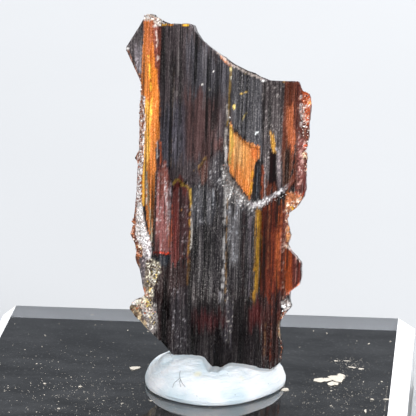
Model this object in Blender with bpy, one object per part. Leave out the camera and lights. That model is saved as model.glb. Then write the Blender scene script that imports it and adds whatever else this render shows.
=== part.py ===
"""Brookite crystal: a thin striated blade held upright by a pat of mineral tack on a square acrylic block.

Frame: metres, +Z up, +X to the viewer's right, +Y away from the viewer, origin at the centre of the
block's underside. The crystal is drawn in millimetres in its own frame first: u to the right, w into
the crystal from its main front face, v up from the block's top.
"""

import math
import random

import bmesh
import bpy
from mathutils import Vector

MM = 0.001

# Driving dimensions, in millimetres.
BLOCK_SIDE = 25.4
BLOCK_HEIGHT = 4.76
BLOCK_BEVEL = 1.0
FOOT_X = 1.7
FOOT_Y = -0.3
PLATE_BACK = 1.25
LAYER_RISE = 0.2
WINDOW_LEVEL = 0.26
STRIAE_TILT = math.radians(1.7)
STRIAE_LEVEL = 10.0
BREAK_SLANT = math.radians(10)
TACK_RADIUS = 4.0
TACK_HEIGHT = 2.0
FIT_GAP = 0.05
GRAIN_SINK = 0.35
STRIA_STEP = 0.012
# The blade is drawn out from below its foot to above its head, then crossed with its outline, which is cut
# from in front of its front face to behind its back.
DRAWN_FOOT = -2.0
DRAWN_HEAD = 24.0
CUT_FRONT = -1.5
CUT_BACK = 3.0

# Seeds of the uneven striae on each face, and of the first crust.
FRONT_SEED = 11
BACK_SEED = 12
LAYER_SEED = 13
SHELF_SEED = 14
BACK_LAYER_SEED = 15
CRUST_SEED = 40

# The blade's broken outline, clockwise from the tip of its upper left wing, as (u, v).
BLADE_OUTLINE = [
    (-4.85, 19.40), (-3.90, 21.20), (-3.76, 21.35), (-3.48, 21.35), (-3.09, 21.11), (-2.47, 20.84),
    (-1.30, 20.89), (-1.18, 20.80), (-1.06, 20.48), (-0.71, 19.95), (-0.08, 19.46), (0.41, 19.08),
    (1.12, 18.63), (1.82, 18.29), (2.23, 18.16), (2.56, 17.96), (3.08, 17.78), (4.59, 17.78),
    (4.71, 17.53), (4.83, 17.28), (5.13, 17.11), (5.26, 16.85), (5.28, 16.53), (5.20, 15.53),
    (5.16, 14.62), (5.10, 14.31), (5.13, 14.10), (4.96, 13.81), (5.13, 13.58), (5.11, 13.30),
    (5.06, 12.86), (5.07, 11.60), (4.97, 11.21), (4.55, 10.52), (4.13, 10.21), (4.03, 9.79),
    (4.06, 9.61), (4.25, 8.80), (4.10, 8.33), (4.26, 8.00), (4.60, 7.62), (4.86, 7.31),
    (4.87, 6.38), (4.76, 6.01), (4.24, 5.56), (4.21, 4.99), (4.32, 4.69), (4.07, 4.37),
    (3.79, 3.99), (3.64, 3.68), (3.65, 3.07), (3.87, 2.16), (3.77, 1.77), (3.74, 1.39),
    (3.30, 0.90), (3.10, 0.35), (-1.50, 0.35), (-2.43, 1.62), (-2.97, 2.29), (-3.70, 2.96),
    (-4.34, 3.62), (-4.92, 4.21), (-4.81, 4.48), (-4.56, 4.72), (-4.12, 4.89), (-3.94, 5.16),
    (-4.04, 5.52), (-4.25, 6.58), (-4.51, 7.28), (-4.49, 7.69), (-4.60, 8.22), (-4.82, 8.67),
    (-4.71, 8.89), (-4.52, 10.22), (-4.43, 11.47), (-4.35, 12.79), (-4.53, 13.13), (-4.38, 13.36),
    (-4.27, 13.68), (-4.19, 16.03), (-4.14, 17.52),
]
# The later front layer, thicker than the plate behind it, ends upwards in a serrated ledge.
LAYER_OUTLINE = [
    (-2.50, 11.20), (-2.36, 11.36), (-2.26, 11.30), (-2.14, 11.66), (-1.96, 11.56), (-1.88, 11.88),
    (-1.66, 11.74), (-1.38, 12.00), (-1.15, 12.25), (-0.80, 12.62), (-0.48, 13.17), (0.19, 13.75),
    (0.66, 14.20), (0.72, 12.06), (1.42, 11.40), (2.15, 10.74), (2.54, 10.45), (3.21, 10.86),
    (4.00, 11.27), (4.56, 12.05), (4.90, 11.95), (4.88, 11.30), (4.48, 10.62), (4.05, 10.28),
    (3.94, 9.79), (4.16, 8.80), (4.00, 8.33), (4.10, 5.70), (4.13, 5.00), (3.70, 4.05),
    (3.56, 3.60), (3.58, 3.05), (3.78, 2.16), (3.64, 1.40), (3.22, 0.96), (3.02, 0.42),
    (-1.44, 0.42), (-2.36, 1.64), (-2.62, 2.05),
]
# A narrow step between the left rib and that layer.
SHELF_OUTLINE = [
    (-3.22, 12.30), (-2.86, 12.75), (-2.40, 12.50), (-2.40, 7.62), (-2.90, 7.50), (-3.38, 7.62),
]
SHELF_RISE = 0.10
# The clear window, a shallow hollow with a pointed foot.
WINDOW_OUTLINE = [
    (0.97, 15.00), (1.56, 14.27), (1.98, 13.90), (2.51, 13.80), (2.53, 13.00), (2.20, 12.50),
    (1.99, 10.98), (0.94, 12.05), (0.79, 13.15), (0.88, 14.97),
]

# Bands across the blade as (left edge, depth there, right edge, depth there, mean stria width, stria relief).
FRONT_BANDS = [
    (-5.20, 0.62, -4.50, 0.58, 0.35, 0.03),
    (-4.50, 0.58, -3.95, 0.12, 0.28, 0.03),
    (-3.95, 0.10, -3.18, -0.02, 0.26, 0.02),
    (-3.18, 0.10, -1.36, 0.08, 0.17, 0.03),
    (-1.36, 0.05, 0.66, 0.09, 0.16, 0.04),
    (0.66, 0.00, 0.86, 0.00, 0.20, 0.00),
    (0.86, 0.10, 2.60, 0.12, 0.22, 0.03),
    (2.60, 0.06, 3.92, 0.10, 0.18, 0.04),
    (3.92, 0.14, 4.50, 0.22, 0.20, 0.03),
    (4.50, 0.26, 5.50, 0.80, 0.30, 0.04),
]
BACK_BANDS = [
    (-5.20, PLATE_BACK - 0.30, -4.30, PLATE_BACK - 0.20, 0.40, 0.03),
    (-4.30, PLATE_BACK - 0.10, -1.90, PLATE_BACK, 0.30, 0.04),
    (-1.90, PLATE_BACK + 0.08, 1.40, PLATE_BACK + 0.10, 0.26, 0.05),
    (1.40, PLATE_BACK - 0.04, 4.40, PLATE_BACK - 0.06, 0.30, 0.04),
    (4.40, PLATE_BACK - 0.10, 5.50, PLATE_BACK - 0.30, 0.35, 0.03),
]
# The front layer's own face, drawn from its level to a line safely inside the plate.
LAYER_BANDS = [
    (-3.20, -LAYER_RISE + 0.02, -1.34, -LAYER_RISE + 0.06, 0.18, 0.04),
    (-1.34, -LAYER_RISE + 0.10, 0.60, -LAYER_RISE + 0.06, 0.17, 0.05),
    (0.60, -LAYER_RISE - 0.02, 2.35, -LAYER_RISE + 0.05, 0.19, 0.05),
    (2.35, -LAYER_RISE + 0.10, 2.70, -LAYER_RISE + 0.10, 0.20, 0.00),
    (2.70, -LAYER_RISE + 0.02, 5.30, -LAYER_RISE + 0.12, 0.19, 0.04),
]
# On the back one low layer stands out of the plate, pointed at its head.
BACK_LAYER_OUTLINE = [
    (-2.30, 0.50), (-2.62, 6.20), (-2.34, 9.40), (-1.72, 10.05), (-0.90, 11.60), (-0.30, 12.40),
    (0.25, 11.15), (1.30, 10.60), (2.20, 8.30), (2.45, 4.10), (2.85, 0.60),
]
BACK_LAYER_BANDS = [
    (-3.40, PLATE_BACK + 0.16, -0.20, PLATE_BACK + 0.22, 0.28, 0.04),
    (-0.20, PLATE_BACK + 0.28, 3.60, PLATE_BACK + 0.20, 0.24, 0.04),
]
SHELF_BANDS = [(-3.80, -SHELF_RISE + 0.04, -2.00, -SHELF_RISE, 0.20, 0.03)]
INNER_LEVEL = 0.60

# Facets grown out of the blade, each the convex hull of its (u, w, v) corners.
RIGHT_FACET = [
    (3.92, -0.12, 8.28), (4.38, -0.28, 7.80), (4.83, 0.22, 7.28), (4.84, 0.22, 6.40),
    (4.40, -0.28, 5.95), (3.98, -0.14, 5.66), (3.92, 0.80, 8.20), (4.80, 0.85, 7.26),
    (4.80, 0.85, 6.42), (3.98, 0.80, 5.70),
]
FOOT_LOBE = [
    (-4.86, 0.42, 4.24), (-4.60, 0.30, 4.64), (-3.98, -0.02, 5.02), (-3.30, -0.14, 5.40),
    (-2.62, -0.17, 4.10), (-2.66, -0.15, 2.30), (-3.66, 0.12, 3.00), (-4.30, 0.30, 3.66),
    (-4.80, 0.85, 4.26), (-3.60, 0.90, 5.10), (-2.70, 0.90, 3.60), (-2.70, 0.90, 2.25),
    (-4.28, 0.85, 3.70),
]

# Crusts of small broken crystals: (path of (u, w, v), count, smallest radius, largest radius, scatter).
RUST_KNOB = [(-4.38, 0.40, 7.72), (-4.30, 0.30, 7.25)]
PALE_KNOTS = [(-3.80, 0.02, 7.00), (-3.35, -0.04, 6.60), (-3.25, -0.02, 6.10), (-3.45, 0.0, 5.35)]
FOOT_GRIT = [(-4.55, 0.30, 4.35), (-3.60, 0.02, 4.10), (-3.00, -0.12, 3.00)]
LEFT_SIDE = [(-4.62, 0.52, 8.75), (-4.36, 0.40, 10.6), (-4.16, 0.34, 13.0), (-4.05, 0.30, 16.4)]
RIGHT_SIDE = [(4.92, 0.42, 16.7), (4.90, 0.42, 14.0), (4.74, 0.38, 11.4)]
RIGHT_WAIST = [(4.52, 0.12, 10.9), (4.16, 0.02, 10.3), (4.00, 0.10, 9.5), (4.10, 0.05, 8.9)]
BRIGHT_KNOB = [(3.95, -0.16, 4.86), (4.08, -0.12, 4.62)]
TOP_CAP = [(-3.80, 0.20, 21.10), (-3.20, 0.12, 20.95)]
CRUSTS = [
    (RUST_KNOB, 5, 0.16, 0.30, 0.08),
    (PALE_KNOTS, 12, 0.10, 0.24, 0.14),
    (FOOT_GRIT, 12, 0.09, 0.20, 0.20),
    (LEFT_SIDE, 18, 0.08, 0.17, 0.10),
    (RIGHT_SIDE, 18, 0.09, 0.19, 0.13),
    (RIGHT_WAIST, 9, 0.09, 0.20, 0.06),
    (BRIGHT_KNOB, 5, 0.16, 0.26, 0.06),
    (TOP_CAP, 5, 0.08, 0.14, 0.05),
]
# How far a grain is stretched along each axis, and its corners pulled in or out, as shares of its radius.
GRAIN_STRETCH = (0.7, 1.25)
GRAIN_PULL = (0.72, 1.2)

# The tack's profile from its contact with the block to its crown: (share of the radius, share of the height).
TACK_PROFILE = [
    (0.955, 0.0), (0.995, 0.06), (1.0, 0.18), (0.965, 0.36), (0.895, 0.55), (0.78, 0.74),
    (0.62, 0.88), (0.44, 0.96), (0.26, 1.0), (0.11, 1.0),
]
TACK_SEGMENTS = 48
TACK_CENTRE = (-0.03, 0.10)
# The pat's rim isn't quite round: (waves round it, their start, their share of the radius).
TACK_WAVES = [(3, 0.6, 0.018), (5, 2.0, 0.012)]
# Swells and hollows pressed into the tack: (u, w, radius, rise).
TACK_MARKS = [
    (-1.55, -1.50, 1.30, 0.14), (-2.60, 0.10, 1.20, 0.10), (0.35, -0.95, 0.95, -0.72),
    (1.75, -1.50, 1.20, -0.02), (2.70, -0.60, 1.00, -0.16), (3.55, 0.30, 0.55, 0.30),
    (0.60, 2.60, 1.60, 0.16), (-2.00, 2.60, 1.20, -0.12), (2.80, 2.20, 1.00, 0.10),
]


def clear_scene():
    """Removes whatever the file holds."""
    for old in list(bpy.data.objects):
        bpy.data.objects.remove(old)


def placed(u, w, v):
    """The world place, in metres, of a point in the crystal's own millimetres."""
    return Vector((FOOT_X + u, FOOT_Y + w, BLOCK_HEIGHT + v)) * MM


def finish(name, colour, roughness, transmission=0.0):
    """A plain Principled finish in the piece's main colour."""
    material = bpy.data.materials.new(name)
    material.use_nodes = True
    shader = material.node_tree.nodes["Principled BSDF"]
    shader.inputs["Base Color"].default_value = (*colour, 1.0)
    shader.inputs["Roughness"].default_value = roughness
    shader.inputs["Metallic"].default_value = 0.0
    shader.inputs["Transmission Weight"].default_value = transmission
    return material


def object_from(name, bm):
    """A linked object that holds the mesh, with its faces turned outwards."""
    bmesh.ops.recalc_face_normals(bm, faces=bm.faces)
    mesh = bpy.data.meshes.new(name)
    bm.to_mesh(mesh)
    bm.free()
    piece = bpy.data.objects.new(name, mesh)
    bpy.context.collection.objects.link(piece)
    return piece


def combine(piece, tool, operation):
    """Joins, cuts or crosses the piece with the tool, and uses the tool up."""
    cut = piece.modifiers.new(operation.title(), "BOOLEAN")
    cut.operation = operation
    cut.solver = "EXACT"
    cut.object = tool
    bpy.context.view_layer.update()
    graph = bpy.context.evaluated_depsgraph_get()
    made = bpy.data.meshes.new_from_object(piece.evaluated_get(graph))
    piece.modifiers.clear()
    piece.data = made
    bpy.data.objects.remove(tool)


def prism(name, near_ring, far_ring):
    """The closed solid between two rings of the same number of corners."""
    bm = bmesh.new()
    near = [bm.verts.new(corner) for corner in near_ring]
    far = [bm.verts.new(corner) for corner in far_ring]
    bm.faces.new(near)
    bm.faces.new(far)
    for i, corner in enumerate(near):
        following = (i + 1) % len(near)
        bm.faces.new((corner, near[following], far[following], far[i]))
    return object_from(name, bm)


def grown_outline(outline, margin):
    """The outline moved outwards all round by the margin."""
    grown = []
    for i, (u, v) in enumerate(outline):
        before = Vector(outline[i - 1])
        after = Vector(outline[(i + 1) % len(outline)])
        along = (after - before).normalized()
        grown.append((u - along.y * margin, v + along.x * margin))
    return grown


def broken_prism(name, outline, near_level, far_level, margin=0.0):
    """An outline cut through the blade, its break falling away towards the back."""
    fall = math.tan(BREAK_SLANT)
    shape = grown_outline(outline, margin)
    rings = [[placed(u, level, v - fall * level) for u, v in shape] for level in (near_level, far_level)]
    return prism(name, *rings)


def striated_line(bands, seed):
    """Points (u, w) across the blade: flat striae of uneven width, with a small step between neighbours."""
    draw = random.Random(seed)
    line = []
    for left, left_level, right, right_level, width, relief in bands:
        count = max(1, round((right - left) / width))
        shares = [draw.uniform(0.45, 1.55) for _ in range(count)]
        edges = [left]
        for share in shares:
            edges.append(edges[-1] + (right - left) * share / sum(shares))
        for start, end in zip(edges, edges[1:]):
            offset = draw.uniform(-relief, relief)
            for u in (start + STRIA_STEP, end - STRIA_STEP):
                level = left_level + (right_level - left_level) * (u - left) / (right - left)
                line.append((u, level + offset))
    return line


def striated_slab(name, front, back):
    """The blade before its outline is broken: the striated cross-section drawn out along the striae."""
    section = front + back[::-1]
    rings = []
    for v in (DRAWN_FOOT, DRAWN_HEAD):
        lean = math.tan(STRIAE_TILT) * (v - STRIAE_LEVEL)
        rings.append([placed(u + lean, w, v) for u, w in section])
    return prism(name, *rings)


def flat_line(line, level):
    """A straight line at one level under the ends of a striated one."""
    return [(line[0][0], level), (line[-1][0], level)]


def shifted(line, distance):
    """The line moved into the blade by the distance, or out of it where that is negative."""
    return [(u, w + distance) for u, w in line]


def growth(name, outline, bands, seed, margin=0.0, behind=False):
    """One layer on the front or the back: its striated face crossed with its own outline."""
    face = shifted(striated_line(bands, seed), margin if behind else -margin)
    inner = flat_line(face, INNER_LEVEL)
    layer = striated_slab(name, inner, face) if behind else striated_slab(name, face, inner)
    combine(layer, broken_prism("layer_outline", outline, CUT_FRONT, CUT_BACK, margin), "INTERSECT")
    return layer


def plate(name, margin=0.0):
    """The blade's main plate with its front and back layers, grown all round by the margin."""
    front = shifted(striated_line(FRONT_BANDS, FRONT_SEED), -margin)
    back = shifted(striated_line(BACK_BANDS, BACK_SEED), margin)
    body = striated_slab(name, front, back)
    combine(body, broken_prism("blade_outline", BLADE_OUTLINE, CUT_FRONT, CUT_BACK, margin), "INTERSECT")
    combine(body, growth("front_layer", LAYER_OUTLINE, LAYER_BANDS, LAYER_SEED, margin), "UNION")
    back_layer = growth("back_layer", BACK_LAYER_OUTLINE, BACK_LAYER_BANDS, BACK_LAYER_SEED, margin, True)
    combine(body, back_layer, "UNION")
    return body


def hull(name, corners):
    """The convex solid around the corners."""
    bm = bmesh.new()
    points = [bm.verts.new(placed(*corner)) for corner in corners]
    made = bmesh.ops.convex_hull(bm, input=points)
    left_over = made["geom_interior"] + made["geom_unused"]
    spare = {item for item in left_over if isinstance(item, bmesh.types.BMVert)}
    bmesh.ops.delete(bm, geom=list(spare), context="VERTS")
    return object_from(name, bm)


def broken_grain(draw, centre, radius):
    """A faceted grain: a coarse ball with its corners pulled in and out."""
    bm = bmesh.new()
    bmesh.ops.create_icosphere(bm, subdivisions=1, radius=radius * MM)
    stretch = Vector([draw.uniform(*GRAIN_STRETCH) for _ in range(3)])
    for corner in bm.verts:
        corner.co = corner.co * stretch * draw.uniform(*GRAIN_PULL) + centre
    return object_from("grain", bm)


def point_along(path, share):
    """The point at that share of the path's legs."""
    place = share * (len(path) - 1)
    leg = min(int(place), len(path) - 2)
    return Vector(path[leg]).lerp(Vector(path[leg + 1]), place - leg)


def add_crust(body, path, count, smallest, largest, scatter, seed):
    """Grains along the path, each sunk by a part of its radius into the body's nearest face."""
    draw = random.Random(seed)
    for i in range(count):
        wanted = point_along(path, (i + 0.5) / count)
        wanted += Vector([draw.uniform(-scatter, scatter) for _ in range(3)])
        radius = draw.uniform(smallest, largest)
        _, nearest, normal, _ = body.closest_point_on_mesh(placed(*wanted))
        centre = nearest - normal * (GRAIN_SINK * radius * MM)
        combine(body, broken_grain(draw, centre, radius), "UNION")


def make_crystal():
    """The blade with its layers, hollows, facets and crusts, all one solid."""
    body = plate("brookite_crystal")
    combine(body, growth("shelf", SHELF_OUTLINE, SHELF_BANDS, SHELF_SEED), "UNION")
    combine(body, broken_prism("window", WINDOW_OUTLINE, CUT_FRONT, WINDOW_LEVEL), "DIFFERENCE")
    combine(body, hull("right_facet", RIGHT_FACET), "UNION")
    combine(body, hull("foot_lobe", FOOT_LOBE), "UNION")
    for seed, crust in enumerate(CRUSTS, start=CRUST_SEED):
        add_crust(body, *crust, seed)
    body.data.materials.clear()
    body.data.materials.append(finish("brookite", (0.045, 0.022, 0.018), 0.28))
    return body


def tack_point(angle, radius_share, height_share):
    """One point of the tack's skin, in the crystal's millimetres."""
    waver = 1.0 + sum(share * math.sin(waves * angle + start) for waves, start, share in TACK_WAVES)
    radius = TACK_RADIUS * waver * radius_share
    u = TACK_CENTRE[0] + radius * math.cos(angle)
    w = TACK_CENTRE[1] + radius * math.sin(angle)
    height = TACK_HEIGHT
    for mark_u, mark_w, reach, rise in TACK_MARKS:
        distance = math.hypot(u - mark_u, w - mark_w) / reach
        height += rise * math.exp(-2.0 * distance * distance)
    return placed(u, w, FIT_GAP + (height - FIT_GAP) * height_share)


def make_tack():
    """The pat of tack: a flattened ball with pressed marks, cut by the slot that the blade stands in."""
    bm = bmesh.new()
    angles = [math.tau * i / TACK_SEGMENTS for i in range(TACK_SEGMENTS)]
    rings = [[bm.verts.new(tack_point(a, *station)) for a in angles] for station in TACK_PROFILE]
    for lower, upper in zip(rings, rings[1:]):
        for i in range(TACK_SEGMENTS):
            following = (i + 1) % TACK_SEGMENTS
            bm.faces.new((lower[i], lower[following], upper[following], upper[i]))
    bm.faces.new(rings[0])
    crown = bm.verts.new(tack_point(0.0, 0.0, 1.0))
    for i in range(TACK_SEGMENTS):
        bm.faces.new((rings[-1][i], rings[-1][(i + 1) % TACK_SEGMENTS], crown))
    tack = object_from("mineral_tack", bm)
    combine(tack, plate("slot", FIT_GAP), "DIFFERENCE")
    tack.data.materials.clear()
    tack.data.materials.append(finish("tack", (0.72, 0.80, 0.86), 0.55))
    return tack


def make_block():
    """The square block, its top edges bevelled."""
    bm = bmesh.new()
    bmesh.ops.create_cube(bm, size=1.0)
    for corner in bm.verts:
        x, y, z = corner.co
        corner.co = Vector((x * BLOCK_SIDE, y * BLOCK_SIDE, (z + 0.5) * BLOCK_HEIGHT)) * MM
    middle = 0.5 * BLOCK_HEIGHT * MM
    top_edges = [edge for edge in bm.edges if all(end.co.z > middle for end in edge.verts)]
    bmesh.ops.bevel(bm, geom=top_edges, offset=BLOCK_BEVEL * MM, segments=1, affect="EDGES")
    block = object_from("acrylic_block", bm)
    block.data.materials.append(finish("acrylic", (0.06, 0.065, 0.07), 0.08, 0.6))
    return block


def main():
    """Builds the three pieces."""
    clear_scene()
    make_crystal()
    make_tack()
    make_block()


if __name__ == "__main__":
    main()
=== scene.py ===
"""Looks of the brookite crystal on its tack and acrylic block.

The blade is drawn in millimetres in its own frame: u to the right, w into the crystal from its main
front face, v up from the block's top. The zones of colour on its front are placed by pixels of the
photograph, in its 416 x 416 frame, and turned to millimetres through the photograph's own camera.
"""

import logging
import math
from collections.abc import Callable
from dataclasses import dataclass, field
from enum import Enum
from functools import cached_property

import bpy
import numpy as np
from mathutils import Matrix, Vector


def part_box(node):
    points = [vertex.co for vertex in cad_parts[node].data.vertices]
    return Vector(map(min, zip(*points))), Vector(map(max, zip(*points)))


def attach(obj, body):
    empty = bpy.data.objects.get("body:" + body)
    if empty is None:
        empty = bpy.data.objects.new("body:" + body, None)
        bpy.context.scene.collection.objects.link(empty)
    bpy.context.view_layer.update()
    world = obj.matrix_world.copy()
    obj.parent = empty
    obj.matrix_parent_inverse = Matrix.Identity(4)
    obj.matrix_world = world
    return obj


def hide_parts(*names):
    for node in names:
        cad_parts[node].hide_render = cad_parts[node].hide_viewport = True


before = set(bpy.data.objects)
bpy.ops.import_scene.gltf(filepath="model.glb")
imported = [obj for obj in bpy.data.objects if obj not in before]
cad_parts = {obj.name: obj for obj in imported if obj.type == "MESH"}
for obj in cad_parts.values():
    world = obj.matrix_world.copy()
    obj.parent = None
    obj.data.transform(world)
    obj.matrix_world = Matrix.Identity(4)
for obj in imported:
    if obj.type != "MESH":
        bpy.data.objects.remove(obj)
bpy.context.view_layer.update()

MM = 0.001
BODY = "root"
log = logging.getLogger("brookite")

Pixel = tuple[float, float]
Pair = tuple[float, float]
Triple = tuple[float, float, float]
Line = tuple[Pair, ...]
Band = tuple[float, float, float, float]
Array = np.ndarray
Piece = bpy.types.Object
Socket = bpy.types.NodeSocket


def linear(hex_colour: str) -> Array:
    """Turns an sRGB colour to linear light, by the sRGB standard's own numbers."""
    values = np.array([int(hex_colour[i:i + 2], 16) for i in (1, 3, 5)]) / 255
    return np.where(values <= 0.04045, values / 12.92, ((values + 0.055) / 1.055) ** 2.4)


def rgba(hex_colour: str) -> tuple[float, float, float, float]:
    """The linear colour with full alpha, as sockets take it."""
    return (*linear(hex_colour).tolist(), 1.0)


def eased(share: Array) -> Array:
    """Eases a share from 0 to 1 at both of its ends."""
    return share * share * (3 - 2 * share)


def smooth_step(low: float, high: float, values: Array) -> Array:
    """Rises smoothly from 0 at low to 1 at high."""
    return eased(np.clip((values - low) / (high - low), 0, 1))


def blend(old: Array, new: Array | float, share: Array) -> Array:
    """Goes from old to new by the share."""
    return old * (1 - share) + new * share


@dataclass(frozen=True)
class ValueNoise:
    """Seeded smooth noise from 0 to 1, on a square lattice that repeats far outside the crystal.

    pitch is the number of its cells to a unit each way. shift, in cells, keeps readings of one seed apart.
    """

    seed: int
    pitch: Pair = (1.0, 1.0)
    shift: float = 0.0
    side: int = 256

    @cached_property
    def table(self) -> Array:
        """The values at the lattice's corners."""
        return np.random.default_rng(self.seed).random((self.side, self.side))

    def __call__(self, x: Array, y: Array, apart: tuple = (0.0, 0.0)) -> Array:
        """Reads the noise.

        Args:
            x: First coordinates.
            y: Second coordinates.
            apart: A further shift each way, in cells.

        Returns:
            The noise there.
        """
        x, y = x * self.pitch[0] + self.shift + apart[0], y * self.pitch[1] + apart[1]
        cell_x, cell_y = np.floor(x).astype(int), np.floor(y).astype(int)
        part_x, part_y = eased(x - cell_x), eased(y - cell_y)
        column, row = cell_x % self.side, cell_y % self.side
        next_column, next_row = (column + 1) % self.side, (row + 1) % self.side
        near = blend(self.table[column, row], self.table[next_column, row], part_x)
        far = blend(self.table[column, next_row], self.table[next_column, next_row], part_x)
        return blend(near, far, part_y)


@dataclass(frozen=True)
class PhotoCamera:
    """The photograph's camera, and the way from its pixels to places on the object, in millimetres."""

    azimuth: float = math.radians(5.8)
    elevation: float = math.radians(17.2)
    distance: float = 156.713
    look_at: Triple = (1.34, -0.3, 15.11)
    sensor: float = 36.0
    lens: float = 243.4
    frame_side: float = 416.0

    def axes(self) -> tuple[Array, Array, Array]:
        """The way the camera is turned.

        Returns:
            Its right, up and back directions.
        """
        sin_az, cos_az = math.sin(self.azimuth), math.cos(self.azimuth)
        sin_el, cos_el = math.sin(self.elevation), math.cos(self.elevation)
        back = np.array([sin_az * cos_el, -cos_az * cos_el, sin_el])
        right = np.array([cos_az, sin_az, 0.0])
        return right, np.cross(back, right), back

    def place(self) -> Array:
        """The camera's place, in millimetres."""
        return np.array(self.look_at) + self.axes()[2] * self.distance

    def meet(self, pixel: Pixel, axis: int, level: float) -> Array:
        """The place where a pixel's line of sight meets a plane.

        Args:
            pixel: The pixel, from the frame's upper left corner.
            axis: The world axis that the plane stands square to.
            level: The plane's place on that axis, in millimetres.

        Returns:
            The point in the world, in millimetres.
        """
        right, up, back = self.axes()
        scale = self.sensor / self.lens / self.frame_side
        middle = self.frame_side / 2
        ray = (right * (pixel[0] - middle) - up * (pixel[1] - middle)) * scale - back
        start = self.place()
        return start + ray * (level - start[axis]) / ray[axis]

    def build(self) -> Piece:
        """Adds the camera to the scene and makes it the scene's own.

        Returns:
            The camera's object.
        """
        data = bpy.data.cameras.new("photo_camera")
        data.sensor_width = self.sensor
        data.lens = self.lens
        data.clip_start = MM
        camera = add_object("photo_camera", data)
        turned = Matrix([Vector(axis) for axis in self.axes()]).transposed().to_4x4()
        camera.matrix_world = Matrix.Translation(Vector(self.place()) * MM) @ turned
        bpy.context.scene.camera = camera
        return camera


PHOTO = PhotoCamera()


@dataclass(frozen=True)
class BladeFrame:
    """The crystal's own frame of u, w and v in millimetres, and its place in the world."""

    foot_x: float = 1.7
    foot_y: float = -0.3
    foot_z: float = 4.76

    def foot(self) -> Array:
        """The place of the frame's origin in the world, in millimetres."""
        return np.array([self.foot_x, self.foot_y, self.foot_z])

    def to_world(self, points: Array) -> Array:
        """World places, in metres, of points given as rows of u, w, v."""
        return (points + self.foot()) * MM

    def from_world(self, points: Array) -> Array:
        """Rows of u, w, v, in millimetres, of world places."""
        return points / MM - self.foot()

    def of_pixel(self, pixel: Pixel) -> Pair:
        """The (u, v) of a pixel of the photograph on the blade's main face."""
        place = PHOTO.meet(pixel, 1, self.foot_y)
        return place[0] - self.foot_x, place[2] - self.foot_z


BLADE = BladeFrame()
PIXELS_PER_MM = 17.9
LEAN = math.radians(1.7)


# Mesh helpers

def add_object(name: str, data: bpy.types.ID) -> Piece:
    """Puts data into the scene as an object.

    Args:
        name: The object's name.
        data: Its mesh, curve, light or camera.

    Returns:
        The new object.
    """
    added = bpy.data.objects.new(name, data)
    bpy.context.scene.collection.objects.link(added)
    return added


def add_primitive(operator: Callable[..., set[str]], **options: object) -> Piece:
    """Adds a primitive with nothing else selected.

    Args:
        operator: The operator that adds it.
        **options: The operator's own options.

    Returns:
        The new object, active and selected.
    """
    bpy.ops.object.select_all(action="DESELECT")
    operator(**options)
    return bpy.context.active_object


def points_of(piece: Piece) -> Array:
    """Reads the piece's vertices.

    Args:
        piece: The piece.

    Returns:
        Their places as rows of x, y, z.
    """
    points = np.empty(len(piece.data.vertices) * 3, np.float32)
    piece.data.vertices.foreach_get("co", points)
    return points.reshape(-1, 3).astype(float)


def set_points(piece: Piece, points: Array) -> None:
    """Moves the piece's vertices to these places."""
    piece.data.vertices.foreach_set("co", points.astype(np.float32).ravel())
    piece.data.update()


def only(piece: Piece) -> None:
    """Selects the piece alone and makes it active.

    Args:
        piece: The piece.
    """
    bpy.ops.object.select_all(action="DESELECT")
    piece.select_set(True)
    bpy.context.view_layer.objects.active = piece


def in_edit_mode(piece: Piece, step: Callable[[], object]) -> None:
    """Runs an edit mode step on the whole piece.

    Args:
        piece: The piece to edit.
        step: A function without arguments, run with everything selected.
    """
    only(piece)
    bpy.ops.object.mode_set(mode="EDIT")
    bpy.ops.mesh.select_all(action="SELECT")
    step()
    bpy.ops.object.mode_set(mode="OBJECT")


def extrude_up(times: int = 1) -> None:
    """Draws what is selected one unit up, a number of times."""
    for _ in range(times):
        bpy.ops.mesh.extrude_region_move(TRANSFORM_OT_translate={"value": (0, 0, 1)})


def face_outwards(piece: Piece) -> None:
    """Turns the faces of a closed piece outwards."""
    in_edit_mode(piece, lambda: bpy.ops.mesh.normals_make_consistent(inside=False))


def apply_modifier(piece: Piece, kind: str, **settings: object) -> None:
    """Adds a modifier with its settings and applies it.

    Args:
        piece: The piece to change.
        kind: The modifier's type.
        **settings: Its settings.
    """
    only(piece)
    modifier = piece.modifiers.new(kind.title(), kind)
    for name, value in settings.items():
        setattr(modifier, name, value)
    bpy.ops.object.modifier_apply(modifier=modifier.name)


def settle(piece: Piece, name: str, nodes: tuple[str, ...] = ()) -> Piece:
    """Names a finished piece and hangs it on the body.

    Args:
        piece: The finished object.
        name: The name it gets.
        nodes: The CAD nodes that it stands for.

    Returns:
        The same object.
    """
    piece.name = name
    piece.data.name = name
    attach(piece, BODY)
    if nodes:
        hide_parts(*nodes)
    log.info("%s: %d faces", name, len(piece.data.polygons))
    return piece


@dataclass
class Heap:
    """Many chips gathered into one mesh, each a changed copy of one ball of triangles."""

    subdivisions: int
    ball: Array = field(init=False)
    faces: Array = field(init=False)
    chips: list[Array] = field(default_factory=list)

    def __post_init__(self) -> None:
        """Takes the ball's corners and faces off a primitive, which is then deleted."""
        ball = add_primitive(bpy.ops.mesh.primitive_ico_sphere_add, subdivisions=self.subdivisions)
        self.ball = points_of(ball)
        self.faces = np.array([list(face.vertices) for face in ball.data.polygons])
        bpy.data.objects.remove(ball)

    def join(self, name: str) -> Piece:
        """Makes one object of the chips.

        Args:
            name: Its name.

        Returns:
            The object.
        """
        faces = np.concatenate([self.faces + i * len(self.ball) for i in range(len(self.chips))])
        mesh = bpy.data.meshes.new(name)
        mesh.from_pydata(np.concatenate(self.chips).tolist(), [], faces.tolist())
        piece = add_object(name, mesh)
        face_outwards(piece)
        return piece


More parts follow.
